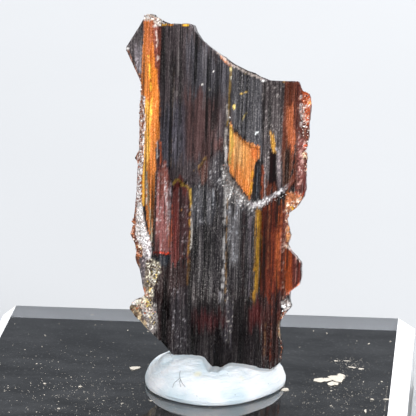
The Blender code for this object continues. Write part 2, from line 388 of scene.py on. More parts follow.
def edge_distance(outline: Array, u: Array, v: Array, closed: bool = True) -> Array:
    """Distance of points from a line of corners, negative inside it where it is closed.

    Args:
        outline: The corners, as rows of u and v.
        u: The points' first coordinates.
        v: The points' second coordinates.
        closed: Whether the last corner joins the first.

    Returns:
        The distances, in the unit of the corners.
    """
    nearest = np.full(u.shape, np.inf)
    inside = np.zeros(u.shape, bool)
    legs = len(outline) if closed else max(len(outline) - 1, 1)
    for i in range(legs):
        start, end = outline[i], outline[(i + 1) % len(outline)]
        along = end - start
        length = max(float(along @ along), 1e-12)
        share = np.clip(((u - start[0]) * along[0] + (v - start[1]) * along[1]) / length, 0, 1)
        gap_u, gap_v = u - start[0] - share * along[0], v - start[1] - share * along[1]
        nearest = np.minimum(nearest, gap_u * gap_u + gap_v * gap_v)
        if closed and start[1] != end[1]:
            crosses = (start[1] > v) != (end[1] > v)
            at = start[0] + (v - start[1]) * along[0] / along[1]
            inside ^= crosses & (u < at)
    nearest = np.sqrt(nearest)
    return np.where(inside, -nearest, nearest)


def within(outline: Line, u: Array, v: Array) -> Array:
    """Which points lie inside the outline."""
    return edge_distance(np.array(outline), u, v) < 0


# Colours of the blade, laid on in order

@dataclass(frozen=True)
class Patch:
    """A zone of one colour on the blade, between corners given in pixels of the photograph.

    soft is the width of its edge and fray how far that edge runs up and down along the striae, in
    pixels. grit is how rough and sparkling it is, clear how much light passes through it, the last
    share how many pale lines of painted highlight its striae show, and fleck a second colour that
    covers the share flecks of it in small spots. A surface zone lies on the front alone.
    """

    colour: str
    corners: tuple[Pixel, ...]
    soft: float = 1.5
    fray: float = 3.0
    strength: float = 1.0
    grit: float = 0.0
    fleck: str = ""
    flecks: float = 0.0
    surface: bool = False
    clear: float = 0.0
    # Share of painted highlight lines that its striae show
    painted_gleam: float = 1.0


@dataclass(frozen=True)
class Streak:
    """A line of one colour along a path of pixels; gaps is the share of its length that is missing."""

    colour: str
    path: tuple[Pixel, ...]
    width: float
    soft: float = 0.8
    gaps: float = 0.0
    strength: float = 1.0
    grit: float = 0.0
    clear: float = 0.0
    surface: bool = True


# Broad zones first, then what lies on them: the crystal's colours under white light, with a few painted
# glints and a painted glow, marked where they lie
ZONES: tuple[Patch | Streak, ...] = (
    # The dark main face and the mauve and grey fields beside it
    Patch("#372F31", ((156, 20), (200, 20), (232, 60), (232, 170), (210, 184), (156, 184)), 5, 8,
        painted_gleam=0.36),
    Patch("#3B3A40", ((186, 34), (204, 46), (230, 70), (229, 98), (206, 94), (188, 90)), 7, 14, 0.8,
        painted_gleam=0.45),
    Patch("#432C2A", ((184, 97), (200, 92), (216, 100), (218, 150), (208, 165), (186, 160)), 9, 14, 0.75,
        painted_gleam=0.22),
    Patch("#383842", ((160, 110), (183, 104), (184, 160), (160, 170)), 7, 14, 0.6, painted_gleam=0.4),
    Patch("#3B3A3E", ((228, 62), (262, 78), (264, 165), (254, 165), (250, 144), (233, 126)), 3, 8, 0.9,
        painted_gleam=0.9),
    Patch("#3C3536", ((262, 80), (285, 83), (284, 186), (264, 190), (262, 150)), 3, 6, 0.75, 0.15, "#8A8280",
        0.15, painted_gleam=0.7),
    # The upper left wing, standing further back
    Patch("#2B2628", ((125, 48), (143.6, 14), (142.6, 50), (140, 83)), 0.8, 0),
    Patch("#4E4648", ((129, 46), (138, 32), (141, 30), (141, 78), (135, 66)), 3, 2, 0.9, 0.3, "#7A7078",
        0.25, surface=True),
    Patch("#766E74", ((132, 50), (138, 44), (141, 46), (141, 74), (137, 70)), 4, 2, 0.8, 0.35, "#ACA4AA",
        0.3, surface=True),
    Streak("#7A4A34", ((126.4, 49.5), (133, 65), (139.5, 82)), 1.2),
    Streak("#5C5456", ((126.4, 47), (135, 32), (143.5, 17)), 1),
    Streak("#F4F0EC", ((126.2, 48), (127, 48.6)), 2.2, grit=0.8),
    # The amber rib down the left side
    Patch("#5E2C20", ((152, 20), (161, 22), (160.6, 60), (159.6, 100), (159, 140), (156, 150), (153, 80)),
        1.8, 5, painted_gleam=0.6),
    Patch("#D07418", ((143.4, 18), (152.8, 20), (154, 51), (157, 80), (159.6, 96), (159.2, 131),
        (157.2, 140), (155.7, 150), (156.5, 166), (155, 181), (154.3, 200), (153, 225), (153.6, 247),
        (149, 232), (145.5, 205), (141, 185), (142.4, 166), (143.5, 150), (144.5, 131), (144, 111),
        (141, 96), (140.2, 80), (142.2, 51)), 1.2, 5, clear=0.5),
    Patch("#96400F", ((143, 20), (152, 20), (153, 34), (152, 62), (146, 60), (143, 40)), 3, 5, 0.6,
        clear=0.35),
    Patch("#7E3A20", ((148, 20), (156, 22), (156, 40), (150, 46)), 2.5, 4, 0.6, clear=0.2),
    Streak("#5A2C10", ((150.4, 48), (150.8, 70), (150, 92)), 1, 1, 0.5, 0.7),
    Patch("#F2AA32", ((145.4, 100), (150.5, 106), (150, 150), (147.5, 166), (145.8, 181), (145.2, 206),
        (140.5, 203), (141.4, 181), (142.8, 160), (144, 130)), 1.5, 4, clear=0.4),
    Streak("#F2C63A", ((148.4, 56), (150.6, 80), (151.6, 100), (151, 120)), 1.6, 1.2, 0.45, 0.8, clear=0.3),
    Streak("#B0601E", ((144.5, 46), (146, 60), (147, 92)), 1.2, 1, 0.4, 0.6),
    Streak("#C8641C", ((156.5, 84), (158, 100), (157, 132)), 1.6, 1.4, 0.3, 0.6),
    Patch("#9C5A22", ((149.4, 176), (154.6, 172), (154.4, 205), (153.4, 246), (149.6, 232)), 1.2, 5, 0.8),
    Streak("#6A6856", ((146.4, 172), (147.4, 190), (148.6, 206), (150.4, 226), (152, 240)), 2.4, 1, 0.1,
        0.9),
    Streak("#F0E6D8", ((145.2, 176), (145.6, 190), (146.2, 204)), 1, 0.8, 0.3, 0.8),
    Streak("#2A0E0C", ((158, 140), (157.6, 166), (156.4, 181), (155.2, 200), (153.6, 246)), 1.4, 0.8, 0.1),
    Streak("#9A9290", ((157.2, 141), (157.2, 158)), 1.2, 0.8, 0.3, 0.8, 0.4),
    Streak("#C05A28", ((160, 142), (160.6, 152), (160, 168)), 1.4, 1, 0.2, 0.8),
    # The white broken flank outside the rib
    Patch("#6A3826", ((137.8, 70), (141, 84), (140.8, 100), (144.8, 112), (144, 150), (141, 181),
        (140.5, 205), (146, 228), (152, 246), (146, 254), (131, 254), (128, 238), (132, 214), (132, 190),
        (135, 150), (136.5, 110)), 1.2, 2, 1, 0.7, "#C88A62", 0.25),
    Patch("#DCD6D4", ((139.6, 94), (144.6, 97), (144.2, 131), (142.2, 166), (140.8, 181), (140.4, 203),
        (144.4, 226), (151, 243), (147, 250), (138, 247), (134.6, 236), (135.2, 214), (134.4, 200),
        (136.4, 181), (136.6, 160), (138.4, 131), (139.4, 111)), 0.9, 2, 1, 1, "#864A32", 0.44,
        surface=True),
    Patch("#B08A78", ((139, 96), (142.6, 97), (142, 131), (141, 158), (136.8, 158), (138, 131)), 1.4, 2,
        0.85, 1, "#7A4226", 0.48, surface=True),
    Streak("#E8E0DC", ((144.4, 106), (144, 131), (142.4, 160)), 1.2, 0.8, 0.35, 0.9, 1),
    Patch("#F2EEEC", ((135, 204), (140.6, 203), (144, 222), (150, 242), (145, 248), (138, 244),
        (134.8, 232)), 1.6, 2, 0.8, 1, "#9A8078", 0.22, surface=True),
    Patch("#E4DEDE", ((143, 232), (150, 243), (152, 254), (149, 266), (143, 264), (141, 248)), 2, 2, 0.9, 1,
        "#857478", 0.3, surface=True),
    Patch("#E8D4A4", ((132.6, 246), (138, 245), (143, 248), (138, 252), (134, 251)), 1.6, 1, 0.85, 1,
        "#9A6A3A", 0.3, surface=True),
    Patch("#7A4A26", ((133.6, 252), (140, 252), (140.4, 261), (134.6, 260)), 1.6, 1, 0.9, 0.9, "#C89A5A",
        0.3, surface=True),
    Streak("#F0E8E0", ((129.4, 232), (128.8, 237), (131, 242)), 2, 1, 0.2, 0.9, 0.9),
    # The rough cap on the rib and painted glints along the top break
    Patch("#B8A89C", ((142.6, 17.5), (146, 12.5), (154, 15.5), (162, 20), (161, 26), (156.5, 26), (153, 21),
        (144, 19.8)), 0.8, 1, 1, 1, "#F2ECE6", 0.35, surface=True),
    Streak("#D8CCC4", ((154.5, 26), (158, 22.5)), 3, 1, 0.2, 0.9, 1),
    Streak("#C9B6AC", ((155.5, 32), (157.6, 38), (156.8, 46), (158.4, 60)), 1.8, 1.2, 0.45, 0.8, 0.6),
    # Painted glints: small yellow highlights on the top break
    Streak("#E4A62C", ((161.5, 23.8), (165, 25)), 2.4, 0.8, 0.15, 1, 0.5),
    Streak("#D88A2A", ((169.5, 24.6), (172, 24.4)), 1.8, 0.8),
    Streak("#EFB030", ((183.5, 24.6), (188, 25)), 2.4, 0.8, 0.1),
    # Dark and light striae of the main face
    Streak("#0C090B", ((176.4, 24), (174.6, 100), (173.5, 168)), 1.2, 0.9, 0.3, 0.8),
    Streak("#0C090B", ((182.4, 26), (181, 120), (179.5, 172)), 1.1, 0.9, 0.35, 0.8),
    Streak("#0A080A", ((196.6, 36), (195.2, 60)), 1.6, 0.8, 0.1),
    Streak("#140E10", ((195.4, 60), (193.4, 120), (192, 175)), 1.3, 1, 0.3, 0.8),
    Streak("#0C090B", ((214.4, 52), (212.6, 100), (211, 160)), 1.6, 1, 0.2, 0.85),
    Streak("#4A3A2C", ((174, 60), (172.5, 110), (171, 166)), 1.2, 1.2, 0.4, 0.7),
    Streak("#5A5654", ((179, 40), (177, 96)), 2, 2, 0.4, 0.45),
    Streak("#4E4A4A", ((205, 50), (203, 108)), 3, 3, 0.3, 0.4),
    # Painted glints: two small pale highlights on the main face
    Streak("#E8E4DC", ((202.3, 84.5), (202.5, 84.7)), 1.7, grit=0.6),
    Streak("#C8C4C0", ((213.8, 71.3), (213.9, 71.5)), 1.3, grit=0.6),
    Streak("#8E8880", ((205.5, 88.8), (208.6, 88.4), (210, 90)), 0.9, 0.6),
    Streak("#D8B04C", ((241.6, 93.8), (244.6, 93), (247.4, 90.8)), 0.9, 0.6, 0, 0.9),
    Streak("#8A7838", ((241.6, 120), (243.5, 116.5), (246.6, 112.6)), 1, 0.8, 0.2, 0.8),
    Streak("#8A7430", ((243, 72.4), (246, 74.4), (248.4, 71)), 1, 0.8, 0.3, 0.8),
    # The pale break that runs down to the right of the ridge
    Streak("#D88E66", ((221, 56.5), (226, 61), (231, 65)), 2.6, 1, 0.15, 0.95, 0.7),
    Streak("#B8AAA2", ((216, 51.5), (222, 56), (231, 64.5), (241, 69.4), (252, 74.6), (262, 78.6)), 1.8, 0.8,
        0.1, 0.9, 0.6),
    Streak("#E6E2E0", ((262.5, 80.4), (266, 80.2)), 1.8, 0.8, 0.1, 1, 0.8),
    Streak("#E8A848", ((283, 82), (286.5, 82)), 1.6, 0.8),
    Streak("#6A6466", ((160, 23), (190, 23.6), (197, 34), (206, 43), (216, 51.5)), 1.2, 0.6, 0.1, 0.8),
    Streak("#6A6064", ((262, 79), (285, 82.5), (296, 81)), 1.2, 0.6, 0.1, 0.8),
    # The ridge between the two faces
    Streak("#8C7038", ((230.6, 67), (230, 80), (229, 112), (227.6, 126)), 1.8, 0.9, 0.12, 0.95, 0.2),
    Streak("#F4E0A0", ((230.5, 68.5), (230.6, 71)), 1.8, 0.7, grit=0.4),
    Streak("#F0E8D0", ((230.4, 77), (230.3, 80)), 1.4, 0.7, grit=0.4),
    Streak("#D8BC68", ((234.4, 106), (234.6, 109)), 1.6, 0.8),
    Streak("#9E9690", ((228, 106), (226.6, 130), (225.4, 152)), 3, 1.2, 0.46, 0.85, 1),
    Streak("#CFC9C4", ((226.2, 148), (226, 164), (224.6, 176)), 3, 1.2, 0.36, 0.9, 1),
    Patch("#54302A", ((214, 143), (223, 139), (223.5, 152), (215, 153)), 3, 6, 0.5, painted_gleam=0.4),
    Streak("#7E6238", ((195.4, 171), (198.6, 167), (202, 163.6), (205.4, 158.6)), 2.8, 1.4, 0.44, 0.85, 0.6),
    Patch("#5A3224", ((198, 172), (207, 158), (208, 178), (202, 183)), 2, 6, 0.6),
    # Granular grey-white crust under the two faces
    Patch("#302E32", ((211, 158), (223, 155), (229, 168), (236, 178), (252, 199), (262, 208), (258, 214),
        (240, 214), (222, 218), (217, 190), (209, 176)), 5, 9, 0.7, 0.5, "#A8A6A8", 0.16, surface=True),
    Patch("#6C6866", ((221, 166), (227, 166), (236, 182), (250, 200), (251, 206), (238, 206), (226, 200)), 4,
        6, 0.85, 0.9, "#E8E6E4", 0.28, surface=True),
    # The amber window
    Patch("#C67A34", ((230.5, 124), (233.5, 132), (242.4, 138.3), (250, 144.6), (259.5, 146), (259.7, 159.8),
        (256, 161.8), (253.9, 168.9), (251.8, 189.3), (250.1, 198.2), (240.4, 188), (231, 176.5),
        (229.7, 171.4), (228.4, 157.4)), 0.9, 3.5, clear=0.5),
    Patch("#D4944E", ((232, 134), (242, 141), (248, 150), (246, 168), (232, 166)), 4, 6, 0.7, clear=0.5),
    Patch("#BC9C3E", ((229.6, 126), (232.2, 128), (233.4, 142), (231.4, 156), (229.4, 157)), 1.8, 3, 0.85,
        clear=0.3),
    Patch("#D6A468", ((234, 136), (241, 140), (241, 162), (233, 166)), 3, 9, 0.55, clear=0.4),
    Patch("#C06A1E", ((231, 168), (240, 172), (250, 186), (250, 198), (240, 188)), 3, 5, 0.7, clear=0.4),
    Streak("#F0A022", ((252.6, 172), (251.6, 182), (250.4, 192), (249, 196)), 2.2, 1, 0.35, clear=0.4),
    Patch("#D46A28", ((250, 148), (259.6, 148), (258, 160), (253, 162)), 2, 5, 0.7, clear=0.4),
    Streak("#7E6A30", ((229.4, 152), (229.8, 164)), 2, 0.9, 0.1),
    Streak("#0C0A0B", ((226.8, 168), (230.4, 175), (240, 188), (250.6, 200.4), (258, 202)), 2.2, 1, 0.02),
    # Right of the window
    Patch("#120F10", ((254.5, 164), (262, 156), (262.4, 196), (256, 202), (250.6, 200), (252.4, 189)), 1.2,
        5, painted_gleam=0.2),
    Streak("#36383E", ((257.6, 166), (257, 198)), 1.4, 1, 0.2, 0.8),
    Streak("#7A3416", ((262.6, 166), (262, 198)), 2, 1.2, 0.25, 0.8),
    Patch("#120304", ((268.6, 151), (276.8, 150), (276.6, 187), (268.2, 187)), 1.2, 3, painted_gleam=0),
    Patch("#56240F", ((263.6, 186), (275.6, 185), (275.6, 194), (264, 199)), 3.5, 12, 0.85, clear=0.1,
        painted_gleam=0.3),
    Streak("#857A7A", ((266, 152), (265.4, 176), (265, 198)), 1.2, 0.9, 0.25, 0.7, 0.4),
    Patch("#A8792A", ((270.2, 133), (273, 132.6), (274.6, 141), (276.4, 152), (273.6, 152.6), (271.4, 146)),
        0.9, 3),
    Streak("#B8B2B8", ((276.6, 148), (279.4, 153)), 1.6, 0.9, 0.2, 0.8, 0.6),
    Patch("#62565A", ((277.2, 151), (280.8, 150), (280.4, 188), (277, 189)), 1.4, 4, 0.8, 0.3, "#A09290",
        0.2),
    # A painted glint: a small pale highlight
    Streak("#E8ECEC", ((255.6, 133.6), (257, 132)), 1.8, 0.7, 0, 1, 0.6),
    # The red-brown right side
    Patch("#562614", ((285, 80), (298, 79), (297, 120), (296, 185), (284, 188), (281.6, 160), (283.6, 120)),
        2, 6, clear=0.15, painted_gleam=0.4),
    Patch("#A4552C", ((288, 104), (293.6, 104), (293.6, 150), (287.6, 152)), 2.4, 10, 0.9, clear=0.3),
    Patch("#4A2A1A", ((281.4, 152), (291, 150), (290.6, 184), (282, 186)), 2, 6, 0.85),
    Streak("#2A0A08", ((297.6, 84), (296.6, 120), (296, 146)), 1.8, 0.9, 0.1, 0.9),
    Streak("#080606", ((295, 146), (294.4, 158), (293.2, 168), (290.4, 177)), 2, 0.8, 0.05),
    Patch("#4A1E14", ((297, 84), (300, 80), (312, 92), (312, 130), (309, 165), (309, 192), (302, 199),
        (295, 193), (294.6, 168), (296.6, 130)), 1.4, 3, 1, 0.75, "#B88470", 0.16),
    Patch("#A8481E", ((301, 86), (312, 92), (312, 124), (303, 122)), 3, 3, 0.8, 0.8, "#F0DCD0", 0.28,
        surface=True),
    Patch("#7A4640", ((297.6, 136), (306, 140), (305, 186), (297.6, 188)), 2, 3, 0.75, 0.8, "#C8A098", 0.3,
        surface=True),
    # A painted glint: a small orange highlight at the upper right corner
    Streak("#F08A30", ((308.4, 101), (309.4, 104)), 2.6, 1, 0, 1, 0.5),
    Streak("#B8481E", ((304.4, 146.6), (306.6, 146.6)), 3.6, 1, 0.1, 1, 0.5),
    Streak("#E8C8A8", ((303.6, 154), (306, 158)), 4, 1, 0.1, 1, 0.9),
    Streak("#D8CCC8", ((300.6, 96), (300.4, 120), (300, 136)), 2, 1.4, 0.5, 0.5, 1),
    Streak("#4A0F10", ((306, 160), (305.6, 178), (305, 194)), 2.6, 1, 0.1, 0.9),
    Streak("#B0401A", ((296, 192.6), (299, 196.4), (303, 193.6)), 1.8, 1, 0.15, 0.9, 0.5),
    # White ridge rising to the right
    Patch("#857E82", ((250, 203), (260, 201), (270, 195.4), (282, 188.6), (288, 183), (289, 186), (283, 192),
        (272, 200), (262, 206.6), (252, 208.6)), 1.8, 2, 0.9, 0.9, "#EEECEC", 0.4, surface=True),
    Streak("#6A4038", ((284, 190), (290, 184), (294, 178), (296, 172)), 2.2, 1.6, 0.35, 0.8, 0.6),
    Streak("#DAD6D8", ((254, 206), (263, 202.6), (272, 196.6), (280, 191.4)), 1.6, 1.2, 0.5, 0.8, 1),
    # Mauve and dark red fields of the lower left
    Patch("#7A4A47", ((158, 163), (168, 165), (171, 182), (172, 254), (153.4, 254), (155.6, 200),
        (157.6, 176)), 1.4, 6, 0.95, 0.25, "#A8908E", 0.22, painted_gleam=0.6),
    Patch("#64301F", ((158.6, 164), (168, 166), (171, 184), (170.6, 206), (159, 196)), 3, 10, 0.6,
        painted_gleam=0.3),
    Patch("#8A6A68", ((165, 182), (170.6, 184), (170, 226), (166, 224)), 2, 8, 0.7, 0.7, "#D0C4C4", 0.32,
        surface=True),
    Streak("#8E4A1E", ((169.6, 222), (169.2, 246)), 2.2, 1.6, 0.3, 0.7),
    Streak("#A89CA4", ((171, 184), (170.6, 212), (170, 230)), 1.8, 1.4, 0.3, 0.75, 0.4),
    Patch("#4E201C", ((171.6, 184), (177, 179), (184, 184), (190, 189), (191, 215), (189.6, 262), (172, 264),
        (172, 220)), 1.2, 8, 0.95, painted_gleam=0.35),
    Patch("#302224", ((180, 196), (190, 190), (189, 262), (180, 262)), 3, 10, 0.75, 0.3, "#84787A", 0.16,
        painted_gleam=0.5),
    Streak("#6E5620", ((173.6, 184), (176.6, 179.6), (180, 181), (183, 185.4), (187, 186), (190, 190),
        (190.8, 198)), 2.4, 0.9, 0.34, grit=0.4),
    Streak("#8A6426", ((190.8, 190), (190.2, 220), (189.4, 250), (188.2, 284)), 2, 1.2, 0.36, 0.9, 0.3),
    Streak("#B08E38", ((190.8, 190), (191.2, 206)), 1.8, 0.8, 0.1),
    Streak("#C6C0B8", ((192, 205), (191.8, 228), (191.4, 252)), 1.4, 0.9, 0.5, 0.9, 0.8),
    Streak("#F09A20", ((180, 209.4), (181, 209.4)), 1.8, 0.7),
    Streak("#8E3A1C", ((172, 206), (171, 240)), 1.6, 1, 0.35, 0.8),
    Streak("#601C16", ((176, 206), (175.2, 236), (174.6, 262)), 1.4, 1.2, 0.3, 0.7),
    Patch("#2A1412", ((154, 266), (190, 262), (190, 300), (172, 352), (158, 340)), 6, 14, 0.55, painted_gleam=0.35),
    Streak("#CC3C1A", ((154, 252.6), (160, 252), (166, 254), (170, 253.6)), 1.8, 0.9, 0.1),
    Patch("#22262E", ((154, 255.6), (171, 255), (168, 264), (158, 268), (154, 262)), 1.4, 3, 0.9),
    Streak("#040304", ((152.4, 255), (152.8, 260)), 2.4, 0.8),
    # Grey fields and lines of the lower middle
    Patch("#201E21", ((192, 190), (262, 214), (262, 262), (246, 290), (196, 290)), 10, 10, 0.6, 0.05,
        painted_gleam=0.75),
    Patch("#414146", ((192, 190), (208, 184), (216, 200), (214, 220), (194, 226)), 5, 8, 0.6, 0.35,
        "#949296", 0.14, surface=True),
    Streak("#08080A", ((206, 196), (204.6, 280), (203, 362)), 1.3, 0.9, 0.15, 0.9),
    Streak("#08080A", ((211.4, 200), (210, 280), (208.6, 362)), 1.3, 0.9, 0.2, 0.9),
    Streak("#A6A8AE", ((213.6, 184), (213.2, 204)), 1.3, 1, 0.3, 0.7, 0.4),
    Streak("#6A4E26", ((227.6, 196), (227, 250), (225.6, 300)), 1.4, 1.2, 0.35, 0.7),
    Streak("#B6B2B0", ((225.2, 180), (224.6, 230), (222.6, 290), (221, 334)), 2.4, 2, 0.36, 0.8, 0.9),
    Patch("#626063", ((229, 206), (240, 206), (238, 268), (230, 268)), 3, 14, 0.55, 0.45, "#B0B2B8", 0.24,
        surface=True),
    Streak("#1E1012", ((244, 212), (243, 300)), 3, 1.6, 0.3, 0.8),
    Streak("#6A6068", ((250.6, 214), (249, 296)), 2.6, 1.4, 0.3, 0.7, 0.3),
    Streak("#A29EA4", ((220.6, 292), (220, 306)), 2, 1.8, 0.4, 0.6, 0.9),
    Streak("#8A8478", ((230.6, 308), (229.6, 322), (228.6, 338)), 4, 2, 0.45, 0.6, 0.6),
    Streak("#6C666C", ((178, 296), (176, 350)), 2, 1.6, 0.4, 0.6, 0.3),
    Streak("#5C585E", ((188, 292), (186, 346)), 2.6, 2, 0.4, 0.55, 0.3),
    # Mustard streak and the red-orange lower right
    Patch("#4E1A08", ((261, 208), (274, 199), (287, 205), (289, 245), (287, 294), (262, 300), (260, 270)),
        1.6, 9, clear=0.2, painted_gleam=0.08),
    Patch("#6A2A0E", ((271, 204), (280, 202), (280, 278), (272, 284)), 2, 12, 0.85, clear=0.22, painted_gleam=0.12),
    Streak("#260A06", ((265, 212), (264, 300)), 2.6, 1.6, 0.25, 0.8),
    Streak("#220806", ((270.8, 206), (269.8, 300)), 1.5, 1, 0.3, 0.8),
    Streak("#9C5026", ((279, 206), (278.2, 250), (277.4, 288)), 1.4, 1.2, 0.42, 0.6),
    Streak("#9A6040", ((269.4, 204), (268.4, 240), (267.6, 268)), 0.9, 1, 0.35, 0.6, 0.3),
    Streak("#8A4A2A", ((277.4, 200), (276.4, 250), (275.8, 296)), 0.9, 0.9, 0.4, 0.5),
    Streak("#9A5230", ((281.6, 200), (280.6, 240), (280.4, 270)), 1, 1, 0.35, 0.6, 0.3),
    Streak("#461410", ((274.4, 204), (273.6, 300)), 1.4, 1, 0.25, 0.8),
    Patch("#6E3020", ((283.4, 206), (288.4, 206), (287, 244), (287, 292), (282, 302), (281.6, 250)), 2, 6,
        0.85, 0.7, "#C89C8C", 0.3),
    Patch("#74500F", ((256, 209), (260.6, 209), (260, 270), (257, 294), (255, 306), (253, 304), (252, 290),
        (255, 262)), 2, 7, 0.95, clear=0.2, painted_gleam=0.15),
    Streak("#AE8422", ((258.4, 214), (257.8, 240), (256.4, 270), (255, 292)), 1.6, 1.2, 0.4, 0.7, clear=0.2),
    Streak("#1A1A1E", ((254.4, 272), (253.4, 290)), 2.6, 1.2, 0.1, 0.9),
    Streak("#C88A58", ((289, 215), (287.6, 230), (288.6, 238), (287, 246)), 3.4, 1.2, 0.25, 0.9, 0.9),
    # The facet standing out of the right side
    Patch("#8C3C16", ((284.6, 248), (292.6, 248), (292.6, 290), (286, 295), (284, 280)), 1.4, 3, clear=0.2,
        painted_gleam=0.1),
    Patch("#4A160A", ((292.4, 250), (304, 258), (304, 286), (292.4, 292)), 1, 3, clear=0.1, painted_gleam=0.08),
    Streak("#B87A70", ((296.4, 258), (295.6, 288)), 1.2, 0.9, 0.35, 0.6),
    # Painted glints along the facet's upper edge
    Streak("#EAD8CC", ((286.6, 246), (292, 250), (297, 256), (301.6, 262)), 1.8, 0.8, 0.2, 0.95, 0.5),
    Streak("#C87860", ((301.4, 282.6), (294, 289), (287, 294.4)), 1.8, 0.8, 0.05, 0.9),
    # Rough cream and rust waist
    Patch("#A0603C", ((285.6, 190), (296, 193.6), (303, 196), (300, 206), (291, 213), (285.6, 212)), 1.4, 2,
        1, 0.9, "#F0D4BC", 0.34, surface=True),
    Streak("#F2B02C", ((291.6, 207.6), (293, 209.6)), 3.2, 1),
    # White knob and brown chip low on the right
    Patch("#D4CCC8", ((280.4, 302), (286, 298.6), (291, 303), (288.6, 310), (283.6, 311)), 1.4, 1, 1, 0.9,
        "#4A3632", 0.34, surface=True),
    Patch("#6E3018", ((275.4, 311.6), (288, 313), (284, 320), (278, 323)), 1.2, 2, 0.95, 0.3),
    Streak("#D8B890", ((279.4, 321), (278.8, 336)), 1.6, 0.8, 0.1, 0.95, 0.3),
    # Lower left crust
    Patch("#5C3424", ((130, 248), (142, 250), (145, 262), (140, 268), (132, 264)), 1.4, 2, 1, 0.9, "#C8A080",
        0.25),
    Patch("#5C5458", ((138, 258), (147, 254), (150, 262), (148, 280), (144, 286), (140, 272)), 1.6, 2, 0.9,
        0.9, "#C0B4B4", 0.3, surface=True),
    Patch("#6E6358", ((146, 262), (152, 259), (159, 262), (160, 272), (155, 282), (153, 296), (146, 299),
        (144, 284)), 1.6, 2, 1, 1, "#F0E8D0", 0.36, surface=True),
    Streak("#D8B44C", ((148, 264), (154, 269), (156, 276), (151, 282), (150, 290)), 2.2, 1.4, 0.5, 0.85,
        0.9),
    Streak("#94502C", ((144, 289), (145.8, 293), (148, 296)), 2.8, 1.6, 0.2, 0.85, 0.7),
    Patch("#4A3A30", ((126, 303), (140, 297), (153, 296), (154, 342), (146, 336), (138, 324)), 1.2, 2, 1,
        0.85, "#C8B8A0", 0.32),
    Patch("#E4DCC8", ((133, 299.6), (140, 296), (148, 298), (151, 304), (144, 306), (137, 305)), 2, 2, 0.85,
        1, "#7A6450", 0.25, surface=True),
    Patch("#F0EEEC", ((126, 303), (130, 299), (136, 300), (135, 305), (129, 306)), 1.4, 1, 0.9, 1, "#5A4C44",
        0.35, surface=True),
    Streak("#E0CC7C", ((146, 300), (150.4, 306), (151, 318), (150.4, 326)), 2, 1.2, 0.3, 0.9, 0.9),
    Patch("#867E7C", ((142, 308), (156, 304), (158, 330), (150, 335), (143, 324)), 3, 3, 0.8, 1, "#F4F0E8",
        0.3, surface=True),
    Patch("#4E3A2C", ((127, 306), (133, 306), (143, 316), (149, 332), (144, 332), (130, 314)), 1.6, 1, 0.9,
        0.8, "#E0C8A0", 0.42),
    Streak("#34241A", ((131, 306), (138, 314), (146, 325)), 1.2, 1, 0.3, 0.8, 0.6),
    Streak("#D0B088", ((133.4, 307), (140, 315), (147, 324)), 1.4, 1, 0.35, 0.85, 0.9),
    Streak("#34241A", ((136, 306.6), (142, 314), (148, 322)), 1.2, 1, 0.35, 0.8, 0.6),
    Streak("#9A8A70", ((127.6, 301), (138, 317), (152, 336), (170, 352)), 1.2, 0.8, 0.25, 0.8, 0.4),
    # The darker lower blade, with a painted red glow of light through it where it thins
    Patch("#0F0A0C", ((160, 300), (262, 300), (262, 368), (160, 368)), 10, 12, 0.88, painted_gleam=0.16),
    Patch("#2C282C", ((171, 288), (190, 288), (188, 352), (172, 350)), 6, 14, 0.6, 0.25, "#8E8A8E", 0.13,
        painted_gleam=0.6, surface=True),
    Patch("#38343A", ((226, 296), (233, 298), (231, 346), (225, 342)), 3, 12, 0.6, 0.4, "#A8A29C", 0.2,
        surface=True),
    # The painted glow: dark reds where light shows through the thinning blade
    Patch("#3C1012", ((195, 316), (224, 312), (226, 324), (196, 328)), 14, 10, 0.55, painted_gleam=0.25),
    Patch("#4A1210", ((250, 306), (280, 300), (280, 324), (252, 328)), 14, 10, 0.6, painted_gleam=0.18),
    Patch("#260C08", ((262, 296), (282, 294), (280, 366), (264, 366)), 3, 12, 0.8, clear=0.1, painted_gleam=0.18),
    Streak("#5A2614", ((272, 300), (270, 360)), 1.2, 1, 0.45, 0.6),
    Streak("#6A4A2C", ((265.6, 320), (264.4, 356)), 0.9, 1, 0.4, 0.6, 0.3),
)


@dataclass
class Coat:
    """What the zones give at a set of points: linear colours as rows, grit, clearness and the share of
    painted highlight lines.
    """

    colour: Array
    grit: Array
    clear: Array
    # Share of painted highlight lines on the striae
    painted_gleam: Array

    def write(self, piece: Piece) -> None:
        """Stores the coat at the piece's points as attributes.

        Args:
            piece: The piece, with one point for each row.
        """
        mesh = piece.data
        tint = mesh.attributes.new("tint", "FLOAT_COLOR", "POINT")
        colours = np.column_stack([np.clip(self.colour, 0, 1), np.ones(len(self.colour))])
        tint.data.foreach_set("color", colours.astype(np.float32).ravel())
        # The last attribute is the share of painted highlight lines
        for name in ("grit", "clear", "painted_gleam"):
            values = getattr(self, name).astype(np.float32)
            mesh.attributes.new(name, "FLOAT", "POINT").data.foreach_set("value", values)


